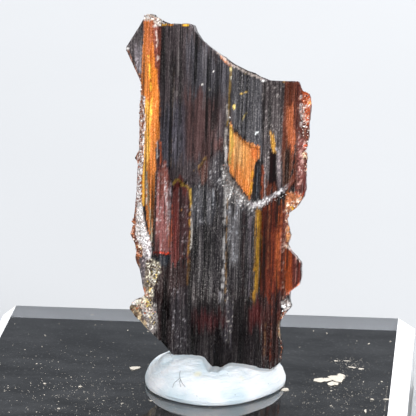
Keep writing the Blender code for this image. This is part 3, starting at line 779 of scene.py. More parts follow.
@dataclass
class Painter:
    """Works out the blade's coat at any of its points from the zones, in millimetres.

    The edge of each zone wavers, is ragged, and runs out along the striae like the teeth of a comb.
    Each zone reads the noises at its own first corner, times a step, so that no two break up alike.
    """

    body: str = "#1C1618"
    margin: float = 0.4
    waver: float = 0.06
    rag: float = 0.06
    fray_gain: float = 1.7
    comb: float = 0.4
    combed_fray: float = 12.0
    comb_power: float = 1.5
    gap_edge: float = 0.12
    gap_step: float = 31.0
    fleck_edge: float = 0.08
    fleck_step: float = 7.0
    streak_waver: ValueNoise = ValueNoise(3, (2.0, 2.4), 9.0)
    streak_rag: ValueNoise = ValueNoise(5, (17.0, 9.0), 5.0)
    streak_gaps: ValueNoise = ValueNoise(6, (5.0, 4.5))
    patch_waver: ValueNoise = ValueNoise(3, (3.1, 1.6))
    patch_rag: ValueNoise = ValueNoise(5, (17.0, 12.0))
    patch_runs: ValueNoise = ValueNoise(4, (15.0, 0.5))
    patch_teeth: ValueNoise = ValueNoise(4, (17.0, 0.7), 40.0)
    patch_flecks: ValueNoise = ValueNoise(5, (15.0, 11.0))
    zones: list[tuple[Patch | Streak, Array]] = field(default_factory=list)

    def __post_init__(self) -> None:
        """Turns each zone's pixels to millimetres on the blade."""
        for zone in ZONES:
            pixels = zone.corners if isinstance(zone, Patch) else zone.path
            self.zones.append((zone, np.array([BLADE.of_pixel(pixel) for pixel in pixels])))

    def cover(self, zone: Patch | Streak, line: Array, u: Array, v: Array) -> Array:
        """How far the zone covers each point.

        Args:
            zone: The zone.
            line: Its corners or path, in millimetres.
            u: The points' places across the blade.
            v: The points' heights.

        Returns:
            Coverage from 0 to 1.
        """
        soft = zone.soft / PIXELS_PER_MM
        first_u, first_v = line[0]
        if isinstance(zone, Streak):
            waver = self.waver * (self.streak_waver(u, v) - 0.5)
            ragged = self.rag * (self.streak_rag(u, v) - 0.5)
            distance = edge_distance(line, u + waver, v, closed=False) + ragged
            half = zone.width / 2 / PIXELS_PER_MM
            share = 1 - smooth_step(half - soft / 2, half + soft / 2, distance)
            if zone.gaps:
                pieces = self.streak_gaps(u, v, (first_u * self.gap_step, 0.0))
                share *= smooth_step(zone.gaps - self.gap_edge, zone.gaps + self.gap_edge, pieces)
            return share
        waver = self.waver * (self.patch_waver(u, v, (0.0, first_v)) - 0.5)
        runs = self.fray_gain * zone.fray / PIXELS_PER_MM * (self.patch_runs(u, v, (0.0, first_u)) - 0.5)
        combed = min(zone.fray / self.combed_fray, 1.0) ** self.comb_power
        teeth = self.comb * combed * (self.patch_teeth(u, v) - 0.5)
        ragged = self.rag * (self.patch_rag(u, v, (0.0, first_v)) - 0.5)
        distance = edge_distance(line, u + waver, v + runs) + teeth + ragged
        return 1 - smooth_step(-soft / 2, soft / 2, distance)

    def paint(self, u: Array, v: Array, front: Array) -> Coat:
        """Lays all the zones on points of the blade.

        Args:
            u: The points' places across the blade.
            v: The points' heights.
            front: 1 on the front and its bevels, 0 on the back.

        Returns:
            The coat at the points.
        """
        colour = np.tile(linear(self.body), (len(u), 1))
        # The last of these is the share of painted highlight lines, full by default
        grit, clear, painted_gleam = np.zeros(len(u)), np.zeros(len(u)), np.ones(len(u))
        for zone, outline in self.zones:
            is_patch = isinstance(zone, Patch)
            reach = self.margin + (0 if is_patch else zone.width / PIXELS_PER_MM)
            low, high = outline.min(0) - reach, outline.max(0) + reach
            near = np.nonzero((u > low[0]) & (u < high[0]) & (v > low[1]) & (v < high[1]))[0]
            if not len(near):
                continue
            share = self.cover(zone, outline, u[near], v[near]) * zone.strength
            if zone.surface:
                share = share * front[near]
            tint = np.tile(linear(zone.colour), (len(near), 1))
            if is_patch and zone.fleck:
                spots = self.patch_flecks(u[near], v[near], (outline[0, 0] * self.fleck_step, 0.0))
                level = 1 - zone.flecks
                marked = smooth_step(level - self.fleck_edge, level + self.fleck_edge, spots)
                tint = blend(tint, linear(zone.fleck), marked[:, None])
            colour[near] = blend(colour[near], tint, share[:, None])
            grit[near] = blend(grit[near], zone.grit, share)
            clear[near] = blend(clear[near], zone.clear, share)
            if is_patch:
                painted_gleam[near] = blend(painted_gleam[near], zone.painted_gleam, share)
        return Coat(colour, grit, clear, painted_gleam)


# The blade

@dataclass
class Striae:
    """The grooves along one face: each has a level, a slope and a brightness, fading in and out."""

    seed: int
    mean_width: float = 0.10
    relief: float = 0.030
    slope: float = 0.16
    fade_length: float = 2.6
    slope_pitch: float = 0.7
    span: Pair = (-6.0, 6.0)
    width_spread: float = 1.6
    least_width: float = 0.35
    seed_step: int = 100
    edges: Array = field(init=False)
    levels: ValueNoise = field(init=False)
    slopes: ValueNoise = field(init=False)
    lights: ValueNoise = field(init=False)

    def __post_init__(self) -> None:
        """Draws the striae's widths and takes up a noise for each of their measures."""
        low, high = self.span
        count = int((high - low) / self.mean_width)
        widths = np.random.default_rng(self.seed).gamma(self.width_spread, 1.0, count) + self.least_width
        self.edges = low + np.cumsum(widths) / widths.sum() * (high - low)
        self.levels = ValueNoise(self.seed + self.seed_step)
        self.slopes = ValueNoise(self.seed + 2 * self.seed_step, (1.0, self.slope_pitch))
        self.lights = ValueNoise(self.seed + 3 * self.seed_step)

    def at(self, across: Array, v: Array) -> tuple[Array, Array]:
        """Depth and brightness of the striae.

        Args:
            across: Places across the blade, taken square to the striae.
            v: Heights.

        Returns:
            Depth offsets in millimetres, and brightness from 0 to 1.
        """
        number = np.searchsorted(self.edges, across)
        left = np.where(number > 0, self.edges[np.maximum(number - 1, 0)], self.span[0])
        right = self.edges[np.minimum(number, len(self.edges) - 1)]
        height = v / self.fade_length
        level = (self.levels(number, height) - 0.5) * 2 * self.relief
        tilt = (self.slopes(number, height) - 0.5) * 2 * self.slope
        return level + tilt * (across - (left + right) / 2), self.lights(number, height)


FRONT_STRIAE = Striae(21)
FRONT_FINE_STRIAE = Striae(22, mean_width=0.06, relief=0.012, slope=0.12, fade_length=1.4)
BACK_STRIAE = Striae(31, mean_width=0.16, relief=0.04, slope=0.2)
BACK_FINE_STRIAE = Striae(32, mean_width=0.07, relief=0.012, slope=0.12, fade_length=1.4)


@dataclass(frozen=True)
class StriaTone:
    """How striae, grain and broad bands lighten and darken the zones' colours, partly as the crystal's own
    banding and partly as painted gloss, with painted shade in the darkest striae and a painted sheen of pale
    lines on the brightest; grit hides them.
    """

    line_shares: Triple = (0.45, 0.33, 0.22)
    line_gain: float = 1.3
    broad_gain: float = 0.6
    band_gain: float = 0.6
    grit_hides: float = 0.8
    darkest: float = 0.15
    groove_light: Pair = (0.10, 0.30)
    groove_shade: float = 0.65
    # Share of painted highlight lines: its floor and its gain with the broad bands
    gleam_floor: float = 0.35
    gleam_gain: float = 1.3
    # Painted sheen: pale colour added along the brightest stria lines
    sheen_lines: Pair = (0.45, 0.95)
    sheen: float = 0.05
    sheen_colour: str = "#FBF5F0"
    grain: ValueNoise = ValueNoise(61, (14.0, 9.0))
    broad: ValueNoise = ValueNoise(62, (1.3, 0.35))
    bands: ValueNoise = ValueNoise(63, (4.2, 0.22))

    def apply(self, coat: Coat, u: Array, v: Array, across: Array) -> None:
        """Changes the coat's colours and its share of painted highlight lines, and adds painted shade and a
        painted sheen.

        Args:
            coat: The coat at a set of points.
            u: The points' places to the right.
            v: Their heights.
            across: Their places across the blade, square to the striae.
        """
        _, light = FRONT_STRIAE.at(across, v)
        _, fine_light = FRONT_FINE_STRIAE.at(across, v)
        broad, bands = self.broad(across, v), self.bands(across, v)
        coarse_share, fine_share, grain_share = self.line_shares
        # The striae lighten and darken the colour, partly as real banding and partly as painted gloss
        lines = coarse_share * light + fine_share * fine_light + grain_share * self.grain(u, v)
        smooth = 1 - self.grit_hides * coat.grit
        tone = self.line_gain * (lines - 0.5) + self.broad_gain * (broad - 0.5)
        tone = tone + self.band_gain * (bands - 0.5)
        coat.colour *= np.maximum(1 + smooth * tone, self.darkest)[:, None]
        # Painted shade in the darkest striae
        dark = 1 - smooth_step(*self.groove_light, light)
        coat.colour *= (1 - self.groove_shade * dark * smooth)[:, None]
        # Painted sheen: pale colour added along the bright stria lines, as far as the painted highlight
        # share allows
        coat.painted_gleam *= smooth * (self.gleam_floor + self.gleam_gain * broad)
        pale = smooth_step(*self.sheen_lines, lines) * coat.painted_gleam * self.sheen
        coat.colour += pale[:, None] * linear(self.sheen_colour)


@dataclass
class Blade:
    """The crystal: a striated slab broken to its outline, with layers, hollows, facets and rough flanks."""

    cells_across: int = 190
    cells_up: int = 232
    width: float = 11.6
    height: float = 22.0
    below_foot: float = 0.3
    lean: float = math.tan(LEAN)
    lean_level: float = 10.0
    break_fall: float = math.tan(math.radians(16))
    shelf_level: float = -0.08
    window_depth: float = 0.14
    grit_relief: float = 0.10
    grit_hides_striae: float = 0.6
    edge_spacing: float = 0.11
    edge_jag: float = 0.10
    edge_coarse_share: float = 0.8
    edge_least: float = 0.35
    edge_grit: float = 0.9
    front_ends: Pair = (0.45, 0.8)
    smooth_angle: float = math.radians(32)
    back_apart: float = 40.0
    break_coarse: ValueNoise = ValueNoise(7, (5.0, 4.0))
    break_fine: ValueNoise = ValueNoise(8, (13.0, 11.0))
    break_gains: Pair = (0.55, 0.9)
    edge_fine: ValueNoise = ValueNoise(9, (0.55, 9.0))
    edge_coarse: ValueNoise = ValueNoise(10, (0.13, 3.0))
    painter: Painter = field(default_factory=Painter)
    tone: StriaTone = StriaTone()
    # Depths at which the broken outline has a ring of corners
    levels: tuple[float, ...] = (-1.2, -0.28, -0.1, 0.1, 0.3, 0.5, 0.7, 0.9, 1.1, 1.3, 1.55, 2.2)
    # Outlines as (u, v)
    outline: Line = (
        (-5.0, 19.4), (-3.9, 21.2), (-3.76, 21.35), (-3.48, 21.35), (-3.09, 21.11), (-2.47, 20.84),
        (-1.3, 20.89), (-1.18, 20.8), (-1.06, 20.48), (-0.71, 19.95), (-0.08, 19.46), (0.41, 19.08),
        (1.12, 18.63), (1.82, 18.29), (2.23, 18.16), (2.56, 17.96), (3.08, 17.78), (4.59, 17.78),
        (4.71, 17.53), (4.83, 17.28), (5.13, 17.11), (5.26, 16.85), (5.28, 16.53), (5.2, 15.53),
        (5.16, 14.62), (5.1, 14.31), (5.13, 14.1), (4.96, 13.81), (5.13, 13.58), (5.11, 13.3),
        (5.06, 12.86), (5.07, 11.6), (4.97, 11.21), (4.55, 10.52), (4.13, 10.21), (4.03, 9.79),
        (4.06, 9.61), (4.25, 8.8), (4.1, 8.33), (4.26, 8.0), (4.6, 7.62), (4.86, 7.31),
        (4.87, 6.38), (4.76, 6.01), (4.24, 5.56), (4.21, 4.99), (4.32, 4.69), (4.07, 4.37),
        (3.79, 3.99), (3.64, 3.68), (3.65, 3.07), (3.87, 2.16), (3.77, 1.77), (3.74, 1.39),
        (3.3, 0.9), (3.1, 0.35), (-1.5, 0.35), (-2.43, 1.62), (-2.97, 2.29), (-3.7, 2.96),
        (-4.34, 3.62), (-4.92, 4.21), (-4.81, 4.48), (-4.56, 4.72), (-4.12, 4.89), (-3.94, 5.16),
        (-4.04, 5.52), (-4.25, 6.58), (-4.51, 7.28), (-4.49, 7.69), (-4.6, 8.22), (-4.82, 8.67),
        (-4.71, 8.89), (-4.52, 10.22), (-4.43, 11.47), (-4.35, 12.79), (-4.53, 13.13), (-4.38, 13.36),
        (-4.27, 13.68), (-4.19, 16.03), (-4.14, 17.52),
    )
    layer_outline: Line = (
        (-2.5, 11.2), (-2.36, 11.36), (-2.26, 11.3), (-2.14, 11.66), (-1.96, 11.56), (-1.88, 11.88),
        (-1.66, 11.74), (-1.38, 12.0), (-1.15, 12.25), (-0.8, 12.62), (-0.48, 13.17), (0.19, 13.75),
        (0.66, 14.2), (0.72, 12.06), (1.42, 11.4), (2.15, 10.74), (2.54, 10.45), (3.21, 10.86),
        (4.0, 11.27), (4.56, 12.05), (4.9, 11.95), (4.88, 11.3), (4.48, 10.62), (4.05, 10.28),
        (3.94, 9.79), (4.16, 8.8), (4.0, 8.33), (4.1, 5.7), (4.13, 5.0), (3.7, 4.05),
        (3.56, 3.6), (3.58, 3.05), (3.78, 2.16), (3.64, 1.4), (3.22, 0.96), (3.02, 0.2),
        (-1.3, 0.2), (-2.36, 1.64), (-2.62, 2.05),
    )
    shelf_outline: Line = (
        (-3.22, 12.3), (-2.86, 12.75), (-2.4, 12.5), (-2.4, 7.62), (-2.9, 7.5), (-3.38, 7.62),
    )
    window_outline: Line = (
        (0.97, 15.0), (1.56, 14.27), (1.98, 13.9), (2.51, 13.8), (2.53, 13.0), (2.2, 12.5),
        (1.99, 10.98), (0.94, 12.05), (0.79, 13.15), (0.88, 14.97),
    )
    back_layer_outline: Line = (
        (-2.3, 0.3), (-2.62, 6.2), (-2.34, 9.4), (-1.72, 10.05), (-0.9, 11.6), (-0.3, 12.4),
        (0.25, 11.15), (1.3, 10.6), (2.2, 8.3), (2.45, 4.1), (2.85, 0.3),
    )
    facet_outline: Line = ((3.92, 8.9), (4.95, 8.9), (4.95, 5.4), (3.96, 5.4))
    lobe_outline: Line = ((-5.0, 4.24), (-4.6, 4.9), (-3.9, 5.3), (-3.3, 5.4), (-2.62, 4.1), (-2.66, 2.3),
                    (-3.66, 2.6), (-4.3, 3.2))
    # Each band runs from (left edge, depth there) to (right edge, depth there)
    front_bands: tuple[Band, ...] = (
        (-6.0, 0.62, -4.5, 0.58), (-4.5, 0.58, -3.95, 0.12), (-3.95, 0.1, -3.18, -0.02),
        (-3.18, 0.1, -1.36, 0.08), (-1.36, 0.05, 0.66, 0.09), (0.66, 0.0, 0.86, 0.0),
        (0.86, 0.1, 2.6, 0.12), (2.6, 0.06, 3.92, 0.1), (3.92, 0.14, 4.5, 0.22), (4.5, 0.26, 6.0, 0.8),
    )
    layer_bands: tuple[Band, ...] = (
        (-6.0, -0.18, -1.34, -0.14), (-1.34, -0.1, 0.6, -0.14), (0.6, -0.22, 2.35, -0.15),
        (2.35, -0.1, 2.7, -0.1), (2.7, -0.18, 6.0, -0.08),
    )
    back_bands: tuple[Band, ...] = (
        (-6.0, 0.95, -4.3, 1.05), (-4.3, 1.15, -1.9, 1.25), (-1.9, 1.33, 1.4, 1.35),
        (1.4, 1.21, 4.4, 1.19), (4.4, 1.15, 6.0, 0.95),
    )
    back_layer_bands: tuple[Band, ...] = ((-6.0, 1.41, -0.2, 1.47), (-0.2, 1.53, 6.0, 1.45))
    # Depths of the facet and the lobe, as (u, depth)
    facet_profile: Line = ((3.90, -0.11), (4.39, -0.28), (4.86, 0.22))
    lobe_profile: Line = ((-4.90, 0.42), (-4.60, 0.30), (-3.98, -0.02), (-3.30, -0.14), (-2.62, -0.17))

    @staticmethod
    def band_level(bands: tuple[Band, ...], across: Array) -> Array:
        """The depth of the bands.

        Args:
            bands: The bands of one face.
            across: Places across the blade, square to the striae.

        Returns:
            The depth at those places.
        """
        level = np.zeros_like(across)
        for left, left_level, right, right_level in bands:
            share = (across - left) / (right - left)
            sloping = left_level + (right_level - left_level) * share
            level = np.where((share >= 0) & (share <= 1), sloping, level)
        return level

    def across(self, u: Array, v: Array) -> Array:
        """Places across the blade square to its leaning striae."""
        return u - self.lean * (v - self.lean_level)

    def rough(self, u: Array, v: Array) -> Array:
        """Rough broken relief, up and down about 0."""
        coarse, fine = self.break_gains
        return coarse * (self.break_coarse(u, v) - 0.5) + fine * (self.break_fine(u, v) - 0.5)

    def front_level(self, u: Array, v: Array, grit: Array) -> Array:
        """The depth of the front face, with its layer, shelf, window, facet, lobe, striae and grit.

        Args:
            u: Places to the right.
            v: Heights.
            grit: How rough the face is there.

        Returns:
            The depths.
        """
        across = self.across(u, v)
        level = self.band_level(self.front_bands, across)
        in_layer = within(self.layer_outline, u, v)
        level = np.where(within(self.shelf_outline, u, v), np.minimum(level, self.shelf_level), level)
        level = np.where(within(self.window_outline, u, v) & ~in_layer, level + self.window_depth, level)
        level = np.where(in_layer, np.minimum(level, self.band_level(self.layer_bands, across)), level)
        lobe = self.lobe_outline, self.lobe_profile
        for outline, profile in ((self.facet_outline, self.facet_profile), lobe):
            places, depths = np.array(profile).T
            level = np.where(within(outline, u, v), np.minimum(level, np.interp(u, places, depths)), level)
        grooves = FRONT_STRIAE.at(across, v)[0] + FRONT_FINE_STRIAE.at(across, v)[0]
        grooves *= 1 - self.grit_hides_striae * grit
        return level + grooves + self.grit_relief * grit * self.rough(u, v)

    def back_level(self, u: Array, v: Array, grit: Array) -> Array:
        """The depth of the back face.

        Args:
            u: Places to the right.
            v: Heights.
            grit: How rough the face is there.

        Returns:
            The depths.
        """
        across = self.across(u, v)
        level = self.band_level(self.back_bands, across)
        layer = np.maximum(level, self.band_level(self.back_layer_bands, across))
        level = np.where(within(self.back_layer_outline, u, v), layer, level)
        level = level + BACK_STRIAE.at(across, v)[0] + BACK_FINE_STRIAE.at(across, v)[0]
        return level + self.grit_relief * grit * self.rough(u + self.back_apart, v)

    def slab(self) -> Piece:
        """The slab before it is broken: a grid drawn out to a closed plate, its points laid in code.

        Returns:
            The slab.
        """
        slab = add_primitive(bpy.ops.mesh.primitive_grid_add, x_subdivisions=self.cells_across,
                             y_subdivisions=self.cells_up, size=1.0)
        in_edit_mode(slab, extrude_up)
        grid = points_of(slab)
        v = grid[:, 1] * self.height + self.height / 2 - self.below_foot
        u = grid[:, 0] * self.width + self.lean * (v - self.lean_level)
        is_front = grid[:, 2] < 0.5
        grit = self.painter.paint(u, v, is_front.astype(float)).grit
        w = np.where(is_front, self.front_level(u, v, grit), self.back_level(u, v, grit))
        set_points(slab, BLADE.to_world(np.column_stack([u, w, v])))
        face_outwards(slab)
        return slab

    def ring(self) -> Array:
        """Even steps round the outline.

        Returns:
            Rows of u, v and the outline's sideways direction there.
        """
        rows = []
        for i, corner in enumerate(self.outline):
            start, end = np.array(corner), np.array(self.outline[(i + 1) % len(self.outline)])
            along = end - start
            steps = max(1, round(float(np.hypot(*along)) / self.edge_spacing))
            out = np.array([-along[1], along[0]]) / np.hypot(*along)
            rows += [(*(start + along * k / steps), *out) for k in range(steps)]
        return np.array(rows)

    def cutter(self) -> Piece:
        """The broken outline: a round disc drawn out in steps, then laid on the outline with jagged walls.

        Returns:
            The solid that the slab is cut with.
        """
        ring = self.ring()
        disc = add_primitive(bpy.ops.mesh.primitive_circle_add, vertices=len(ring), fill_type="NGON")
        in_edit_mode(disc, lambda: extrude_up(len(self.levels) - 1))
        points = points_of(disc)
        turn = np.arctan2(points[:, 1], points[:, 0]) / math.tau
        number = np.round(turn * len(ring)).astype(int) % len(ring)
        level = np.array(self.levels)[np.round(points[:, 2]).astype(int)]
        jags = self.edge_fine(number, level) - 0.5
        jags = jags + self.edge_coarse_share * (self.edge_coarse(number, level) - 0.5)
        ring_u, ring_v, out_u, out_v = ring[number].T
        grit = self.painter.paint(ring_u, ring_v, np.ones(len(number))).grit
        push = self.edge_jag * jags * (self.edge_least + self.edge_grit * grit)
        v = ring_v + out_v * push - self.break_fall * level
        set_points(disc, BLADE.to_world(np.column_stack([ring_u + out_u * push, level, v])))
        face_outwards(disc)
        return disc

    def dress(self, piece: Piece) -> None:
        """Writes the colour, grit, clearness and share of painted highlight lines of each point of a piece
        as attributes.

        Args:
            piece: The blade.
        """
        u, w, v = BLADE.from_world(points_of(piece)).T
        coat = self.painter.paint(u, v + self.break_fall * w, 1 - smooth_step(*self.front_ends, w))
        self.tone.apply(coat, u, v, self.across(u, v))
        coat.write(piece)

    def build(self) -> Piece:
        """Breaks the slab to its outline and dresses it.

        Returns:
            The finished blade.
        """
        slab, disc = self.slab(), self.cutter()
        apply_modifier(slab, "BOOLEAN", operation="INTERSECT", object=disc, solver="EXACT")
        bpy.data.objects.remove(disc)
        self.dress(slab)
        bpy.ops.object.shade_smooth_by_angle(angle=self.smooth_angle)
        slab.data.materials.clear()
        slab.data.materials.append(Brookite().material())
        return settle(slab, "brookite_blade", ("brookite_crystal",))


# Crusts of small broken crystals

@dataclass(frozen=True)
class Crust:
    """Grains along a path of (u, w, v), in millimetres."""

    path: tuple[Triple, ...]
    count: int
    smallest: float
    largest: float
    scatter: float
    colours: tuple[str, ...]


WHITES = ("#E8E2DE", "#CFC4BE", "#F4F2F0", "#9A7468", "#B8A89E")
CREAMS = ("#C8C0B4", "#F4F0E4", "#5A483C", "#8C8278", "#E0C470", "#B0A69C", "#4A3C38")
RUSTS = ("#8A4A30", "#C07A54", "#E0C0AC", "#6A2E20", "#D8A088", "#F0E0D8")

CRUSTS = (
    Crust(((-4.30, 0.34, 17.4), (-4.22, 0.30, 14.0), (-4.30, 0.34, 11.6)), 110, 0.03, 0.075, 0.10, WHITES),
    Crust(((-4.30, 0.34, 11.6), (-4.44, 0.36, 9.6), (-4.40, 0.30, 8.3)), 120, 0.03, 0.09, 0.14, WHITES),
    Crust(((-4.66, 0.55, 9.4), (-4.78, 0.6, 8.7), (-4.5, 0.5, 8.0)), 30, 0.04, 0.09, 0.08, RUSTS),
    Crust(((-4.38, 0.40, 7.72), (-4.30, 0.30, 7.25)), 34, 0.05, 0.13, 0.14, RUSTS),
    Crust(((-3.80, 0.02, 7.00), (-3.45, -0.02, 6.70), (-3.40, 0.0, 6.10), (-3.60, 0.0, 5.35)), 150, 0.04,
        0.11, 0.24, CREAMS),
    Crust(((-3.30, 0.00, 6.90), (-3.20, 0.00, 6.60)), 24, 0.03, 0.08, 0.12, CREAMS),
    Crust(((-4.55, 0.30, 4.40), (-3.90, 0.02, 4.40), (-3.60, -0.05, 4.2)), 80, 0.03, 0.08, 0.24, RUSTS),
    Crust(((-3.75, -0.05, 5.00), (-3.66, -0.1, 4.2), (-3.40, -0.12, 3.3)), 100, 0.03, 0.09, 0.16, CREAMS),
    Crust(((5.06, 0.50, 17.0), (5.10, 0.48, 15.0), (4.96, 0.44, 12.4)), 150, 0.03, 0.085, 0.16, RUSTS),
    Crust(((4.86, 0.40, 16.4), (4.86, 0.40, 14.8)), 60, 0.03, 0.07, 0.12, WHITES),
    Crust(((4.62, 0.12, 10.95), (4.26, 0.02, 10.4), (4.10, 0.06, 9.9)), 90, 0.02, 0.08, 0.14, RUSTS),
    Crust(((4.08, 0.10, 9.9), (4.00, 0.10, 9.4), (4.14, 0.05, 8.8), (4.02, 0.1, 8.2)), 70, 0.02, 0.06, 0.08,
        RUSTS),
    Crust(((3.92, -0.10, 4.86), (4.14, -0.08, 4.62)), 40, 0.05, 0.14, 0.12, ("#F4F2F0", "#FFFFFF",
        "#B8ACA8", "#6A5A54")),
    Crust(((3.98, 0.1, 4.3), (3.76, 0.1, 3.9)), 24, 0.04, 0.09, 0.08, RUSTS),
    Crust(((3.72, 0.10, 3.4), (3.84, 0.10, 2.3), (3.74, 0.1, 1.5)), 50, 0.02, 0.06, 0.08, RUSTS),
    Crust(((-3.95, 0.30, 21.20), (-3.40, 0.10, 21.15), (-2.80, 0.2, 20.9)), 90, 0.03, 0.075, 0.08, WHITES),
    Crust(((0.72, -0.05, 15.8), (0.66, -0.1, 13.6), (0.56, -0.12, 12.4)), 60, 0.02, 0.05, 0.05, WHITES),
    Crust(((2.1, -0.12, 10.5), (2.8, -0.12, 10.7), (3.5, -0.1, 11.1), (4.0, -0.08, 11.5)), 60, 0.012, 0.04,
        0.14, WHITES),
    Crust(((0.5, -0.2, 12.2), (0.9, -0.2, 11.4), (1.7, -0.2, 10.7)), 90, 0.015, 0.042, 0.24, WHITES),
)


@dataclass
class CrustGrains:
    """All the crusts' grains in one mesh, each a copy of a faceted chip sunk into the blade's skin.

    The chip is a coarse ball with its ends cut flat at flat_x and flat_z. jitter moves its corners,
    stretch draws it out, and shade is the range of its tint.
    """

    blade: Piece
    seed: int = 77
    sink: float = 0.4
    flat_x: Pair = (-0.8, 0.62)
    flat_z: Pair = (-0.7, 0.55)
    scatter: Triple = (1.0, 0.6, 1.3)
    scatter_gain: float = 0.6
    size_power: float = 2
    stretch: Pair = (0.6, 1.4)
    jitter: Pair = (0.85, 1.15)
    shade: Pair = (0.75, 1.1)
    clear: float = 0.15

    def build(self) -> Piece:
        """Strews the grains and joins them.

        Returns:
            The finished grains.
        """
        draw = np.random.default_rng(self.seed)
        heap = Heap(subdivisions=1)
        chip = heap.ball
        chip[:, 2] = np.clip(chip[:, 2], *self.flat_z)
        chip[:, 0] = np.clip(chip[:, 0], *self.flat_x)
        colours = []
        for crust in CRUSTS:
            path = np.array(crust.path)
            for i in range(crust.count):
                place = (i + 0.5) / crust.count * (len(path) - 1)
                leg = min(int(place), len(path) - 2)
                wanted = path[leg] + (path[leg + 1] - path[leg]) * (place - leg)
                strewn = draw.normal(0, crust.scatter * self.scatter_gain, 3) * np.array(self.scatter)
                wanted = wanted + strewn
                radius = crust.smallest + (crust.largest - crust.smallest) * draw.random() ** self.size_power
                _, near, normal, _ = self.blade.closest_point_on_mesh(Vector(BLADE.to_world(wanted)))
                turn = np.linalg.qr(draw.normal(size=(3, 3)))[0]
                turn *= np.sign(np.linalg.det(turn))
                stretch = draw.uniform(*self.stretch, 3) * radius * MM
                centre = np.array(near) - np.array(normal) * self.sink * radius * MM
                grain = chip * draw.uniform(*self.jitter, (len(chip), 1)) * stretch
                heap.chips.append(grain @ turn.T + centre)
                tint = linear(crust.colours[draw.integers(len(crust.colours))])
                colours.append(np.tile(tint * draw.uniform(*self.shade), (len(chip), 1)))
        grains = heap.join("crust_grains")
        count = len(grains.data.vertices)
        coat = Coat(np.concatenate(colours), np.ones(count), np.full(count, self.clear), np.zeros(count))
        coat.write(grains)
        grains.data.materials.append(self.blade.data.materials[0])
        return settle(grains, "crust_grains")


# Finishes

def new_material(name: str) -> tuple[bpy.types.Material, bpy.types.NodeTree, bpy.types.Node]:
    """A material with nodes.

    Args:
        name: Its name.

    Returns:
        The material, its node tree and its Principled shader.
    """
    material = bpy.data.materials.new(name)
    material.use_nodes = True
    tree = material.node_tree
    return material, tree, tree.nodes["Principled BSDF"]


def add_node(tree: bpy.types.NodeTree, kind: str, inputs: dict | None = None,
             **settings: object) -> bpy.types.Node:
    """Adds a node with its settings and links.

    Args:
        tree: The tree it goes into.
        kind: The node's type.
        inputs: Its inputs, each given a value or another node's output.
        **settings: Its own settings.

    Returns:
        The node.
    """
    node = tree.nodes.new(kind)
    for name, value in settings.items():
        setattr(node, name, value)
    fill_inputs(tree, node, inputs or {})
    return node


def fill_inputs(tree: bpy.types.NodeTree, node: bpy.types.Node, inputs: dict) -> None:
    """Sets or links a node's inputs.

    Args:
        tree: The tree that the node is in.
        node: The node.
        inputs: Its inputs, each given a value or another node's output.
    """
    for name, value in inputs.items():
        if isinstance(value, Socket):
            tree.links.new(value, node.inputs[name])
        else:
            node.inputs[name].default_value = value


@dataclass(frozen=True)
class Nodes:
    """Short ways to add the nodes that the finishes share; each gives the new node's output."""

    tree: bpy.types.NodeTree

    def pattern(self, size_mm: Triple, lean: float = 0.0) -> Socket:
        """Object coordinates in which one unit of a pattern has a real size.

        Args:
            size_mm: The unit's size along x, y and z, in millimetres.
            lean: How far the pattern leans to the right, in radians.

        Returns:
            The coordinates.
        """
        place = add_node(self.tree, "ShaderNodeTexCoord").outputs["Object"]
        size = tuple(side * MM for side in size_mm)
        turned = {"Vector": place, "Rotation": (0.0, lean, 0.0), "Scale": size}
        return add_node(self.tree, "ShaderNodeMapping", turned, vector_type="TEXTURE").outputs["Vector"]

    def noise(self, size_mm: Triple, detail: float, rough: float = 0.5, lean: float = 0.0,
              distortion: float = 0.0) -> Socket:
        """Noise with cells of a real size.

        Args:
            size_mm: The cells' size along x, y and z, in millimetres.
            detail: How many finer layers it has.
            rough: How strong the finer layers are.
            lean: How far it leans to the right, in radians.
            distortion: How far it is drawn out of shape.

        Returns:
            Its value, about 0.5 in the middle.
        """
        return add_node(self.tree, "ShaderNodeTexNoise", {
            "Vector": self.pattern(size_mm, lean), "Scale": 1.0, "Detail": detail, "Roughness": rough,
            "Distortion": distortion}).outputs["Fac"]

    def grains(self, size_mm: float) -> bpy.types.Node:
        """Voronoi cells of a real size, the same each way."""
        inputs = {"Vector": self.pattern((size_mm,) * 3), "Scale": 1.0}
        return add_node(self.tree, "ShaderNodeTexVoronoi", inputs)

    def ranged(self, value: Socket, source: Pair = (0.0, 1.0),
               target: Pair = (0.0, 1.0)) -> Socket:
        """Takes a value from one range to another.

        Args:
            value: The value.
            source: The range it comes from, outside which it is held.
            target: The range it goes to.

        Returns:
            The new value.
        """
        return add_node(self.tree, "ShaderNodeMapRange", {
            "Value": value, "From Min": source[0], "From Max": source[1], "To Min": target[0],
            "To Max": target[1]}).outputs["Result"]

    def mixed(self, share: object, first: object, second: object, kind: str = "FLOAT") -> Socket:
        """Mixes two values or colours, from the first to the second by the share."""
        inputs = {"Factor": share, "A": first, "B": second}
        return add_node(self.tree, "ShaderNodeMix", inputs, data_type=kind).outputs["Result"]

    def sum_up(self, operation: str, first: object, second: object) -> Socket:
        """Works out two numbers by an operation, such as MULTIPLY."""
        inputs = {0: first, 1: second}
        return add_node(self.tree, "ShaderNodeMath", inputs, operation=operation).outputs["Value"]

    def sum_up_colours(self, operation: str, first: object, second: object) -> Socket:
        """Works out two colours or places by an operation, channel by channel."""
        inputs = {0: first, 1: second}
        return add_node(self.tree, "ShaderNodeVectorMath", inputs, operation=operation).outputs["Vector"]

    def channel(self, colour: Socket, name: str) -> Socket:
        """One channel of a colour, by its name."""
        return add_node(self.tree, "ShaderNodeSeparateColor", {"Color": colour}).outputs[name]

    def bump(self, height: Socket, strength: float, depth_mm: float) -> Socket:
        """Relief of a real depth, as a normal."""
        inputs = {"Height": height, "Strength": strength, "Distance": depth_mm * MM}
        return add_node(self.tree, "ShaderNodeBump", inputs).outputs["Normal"]


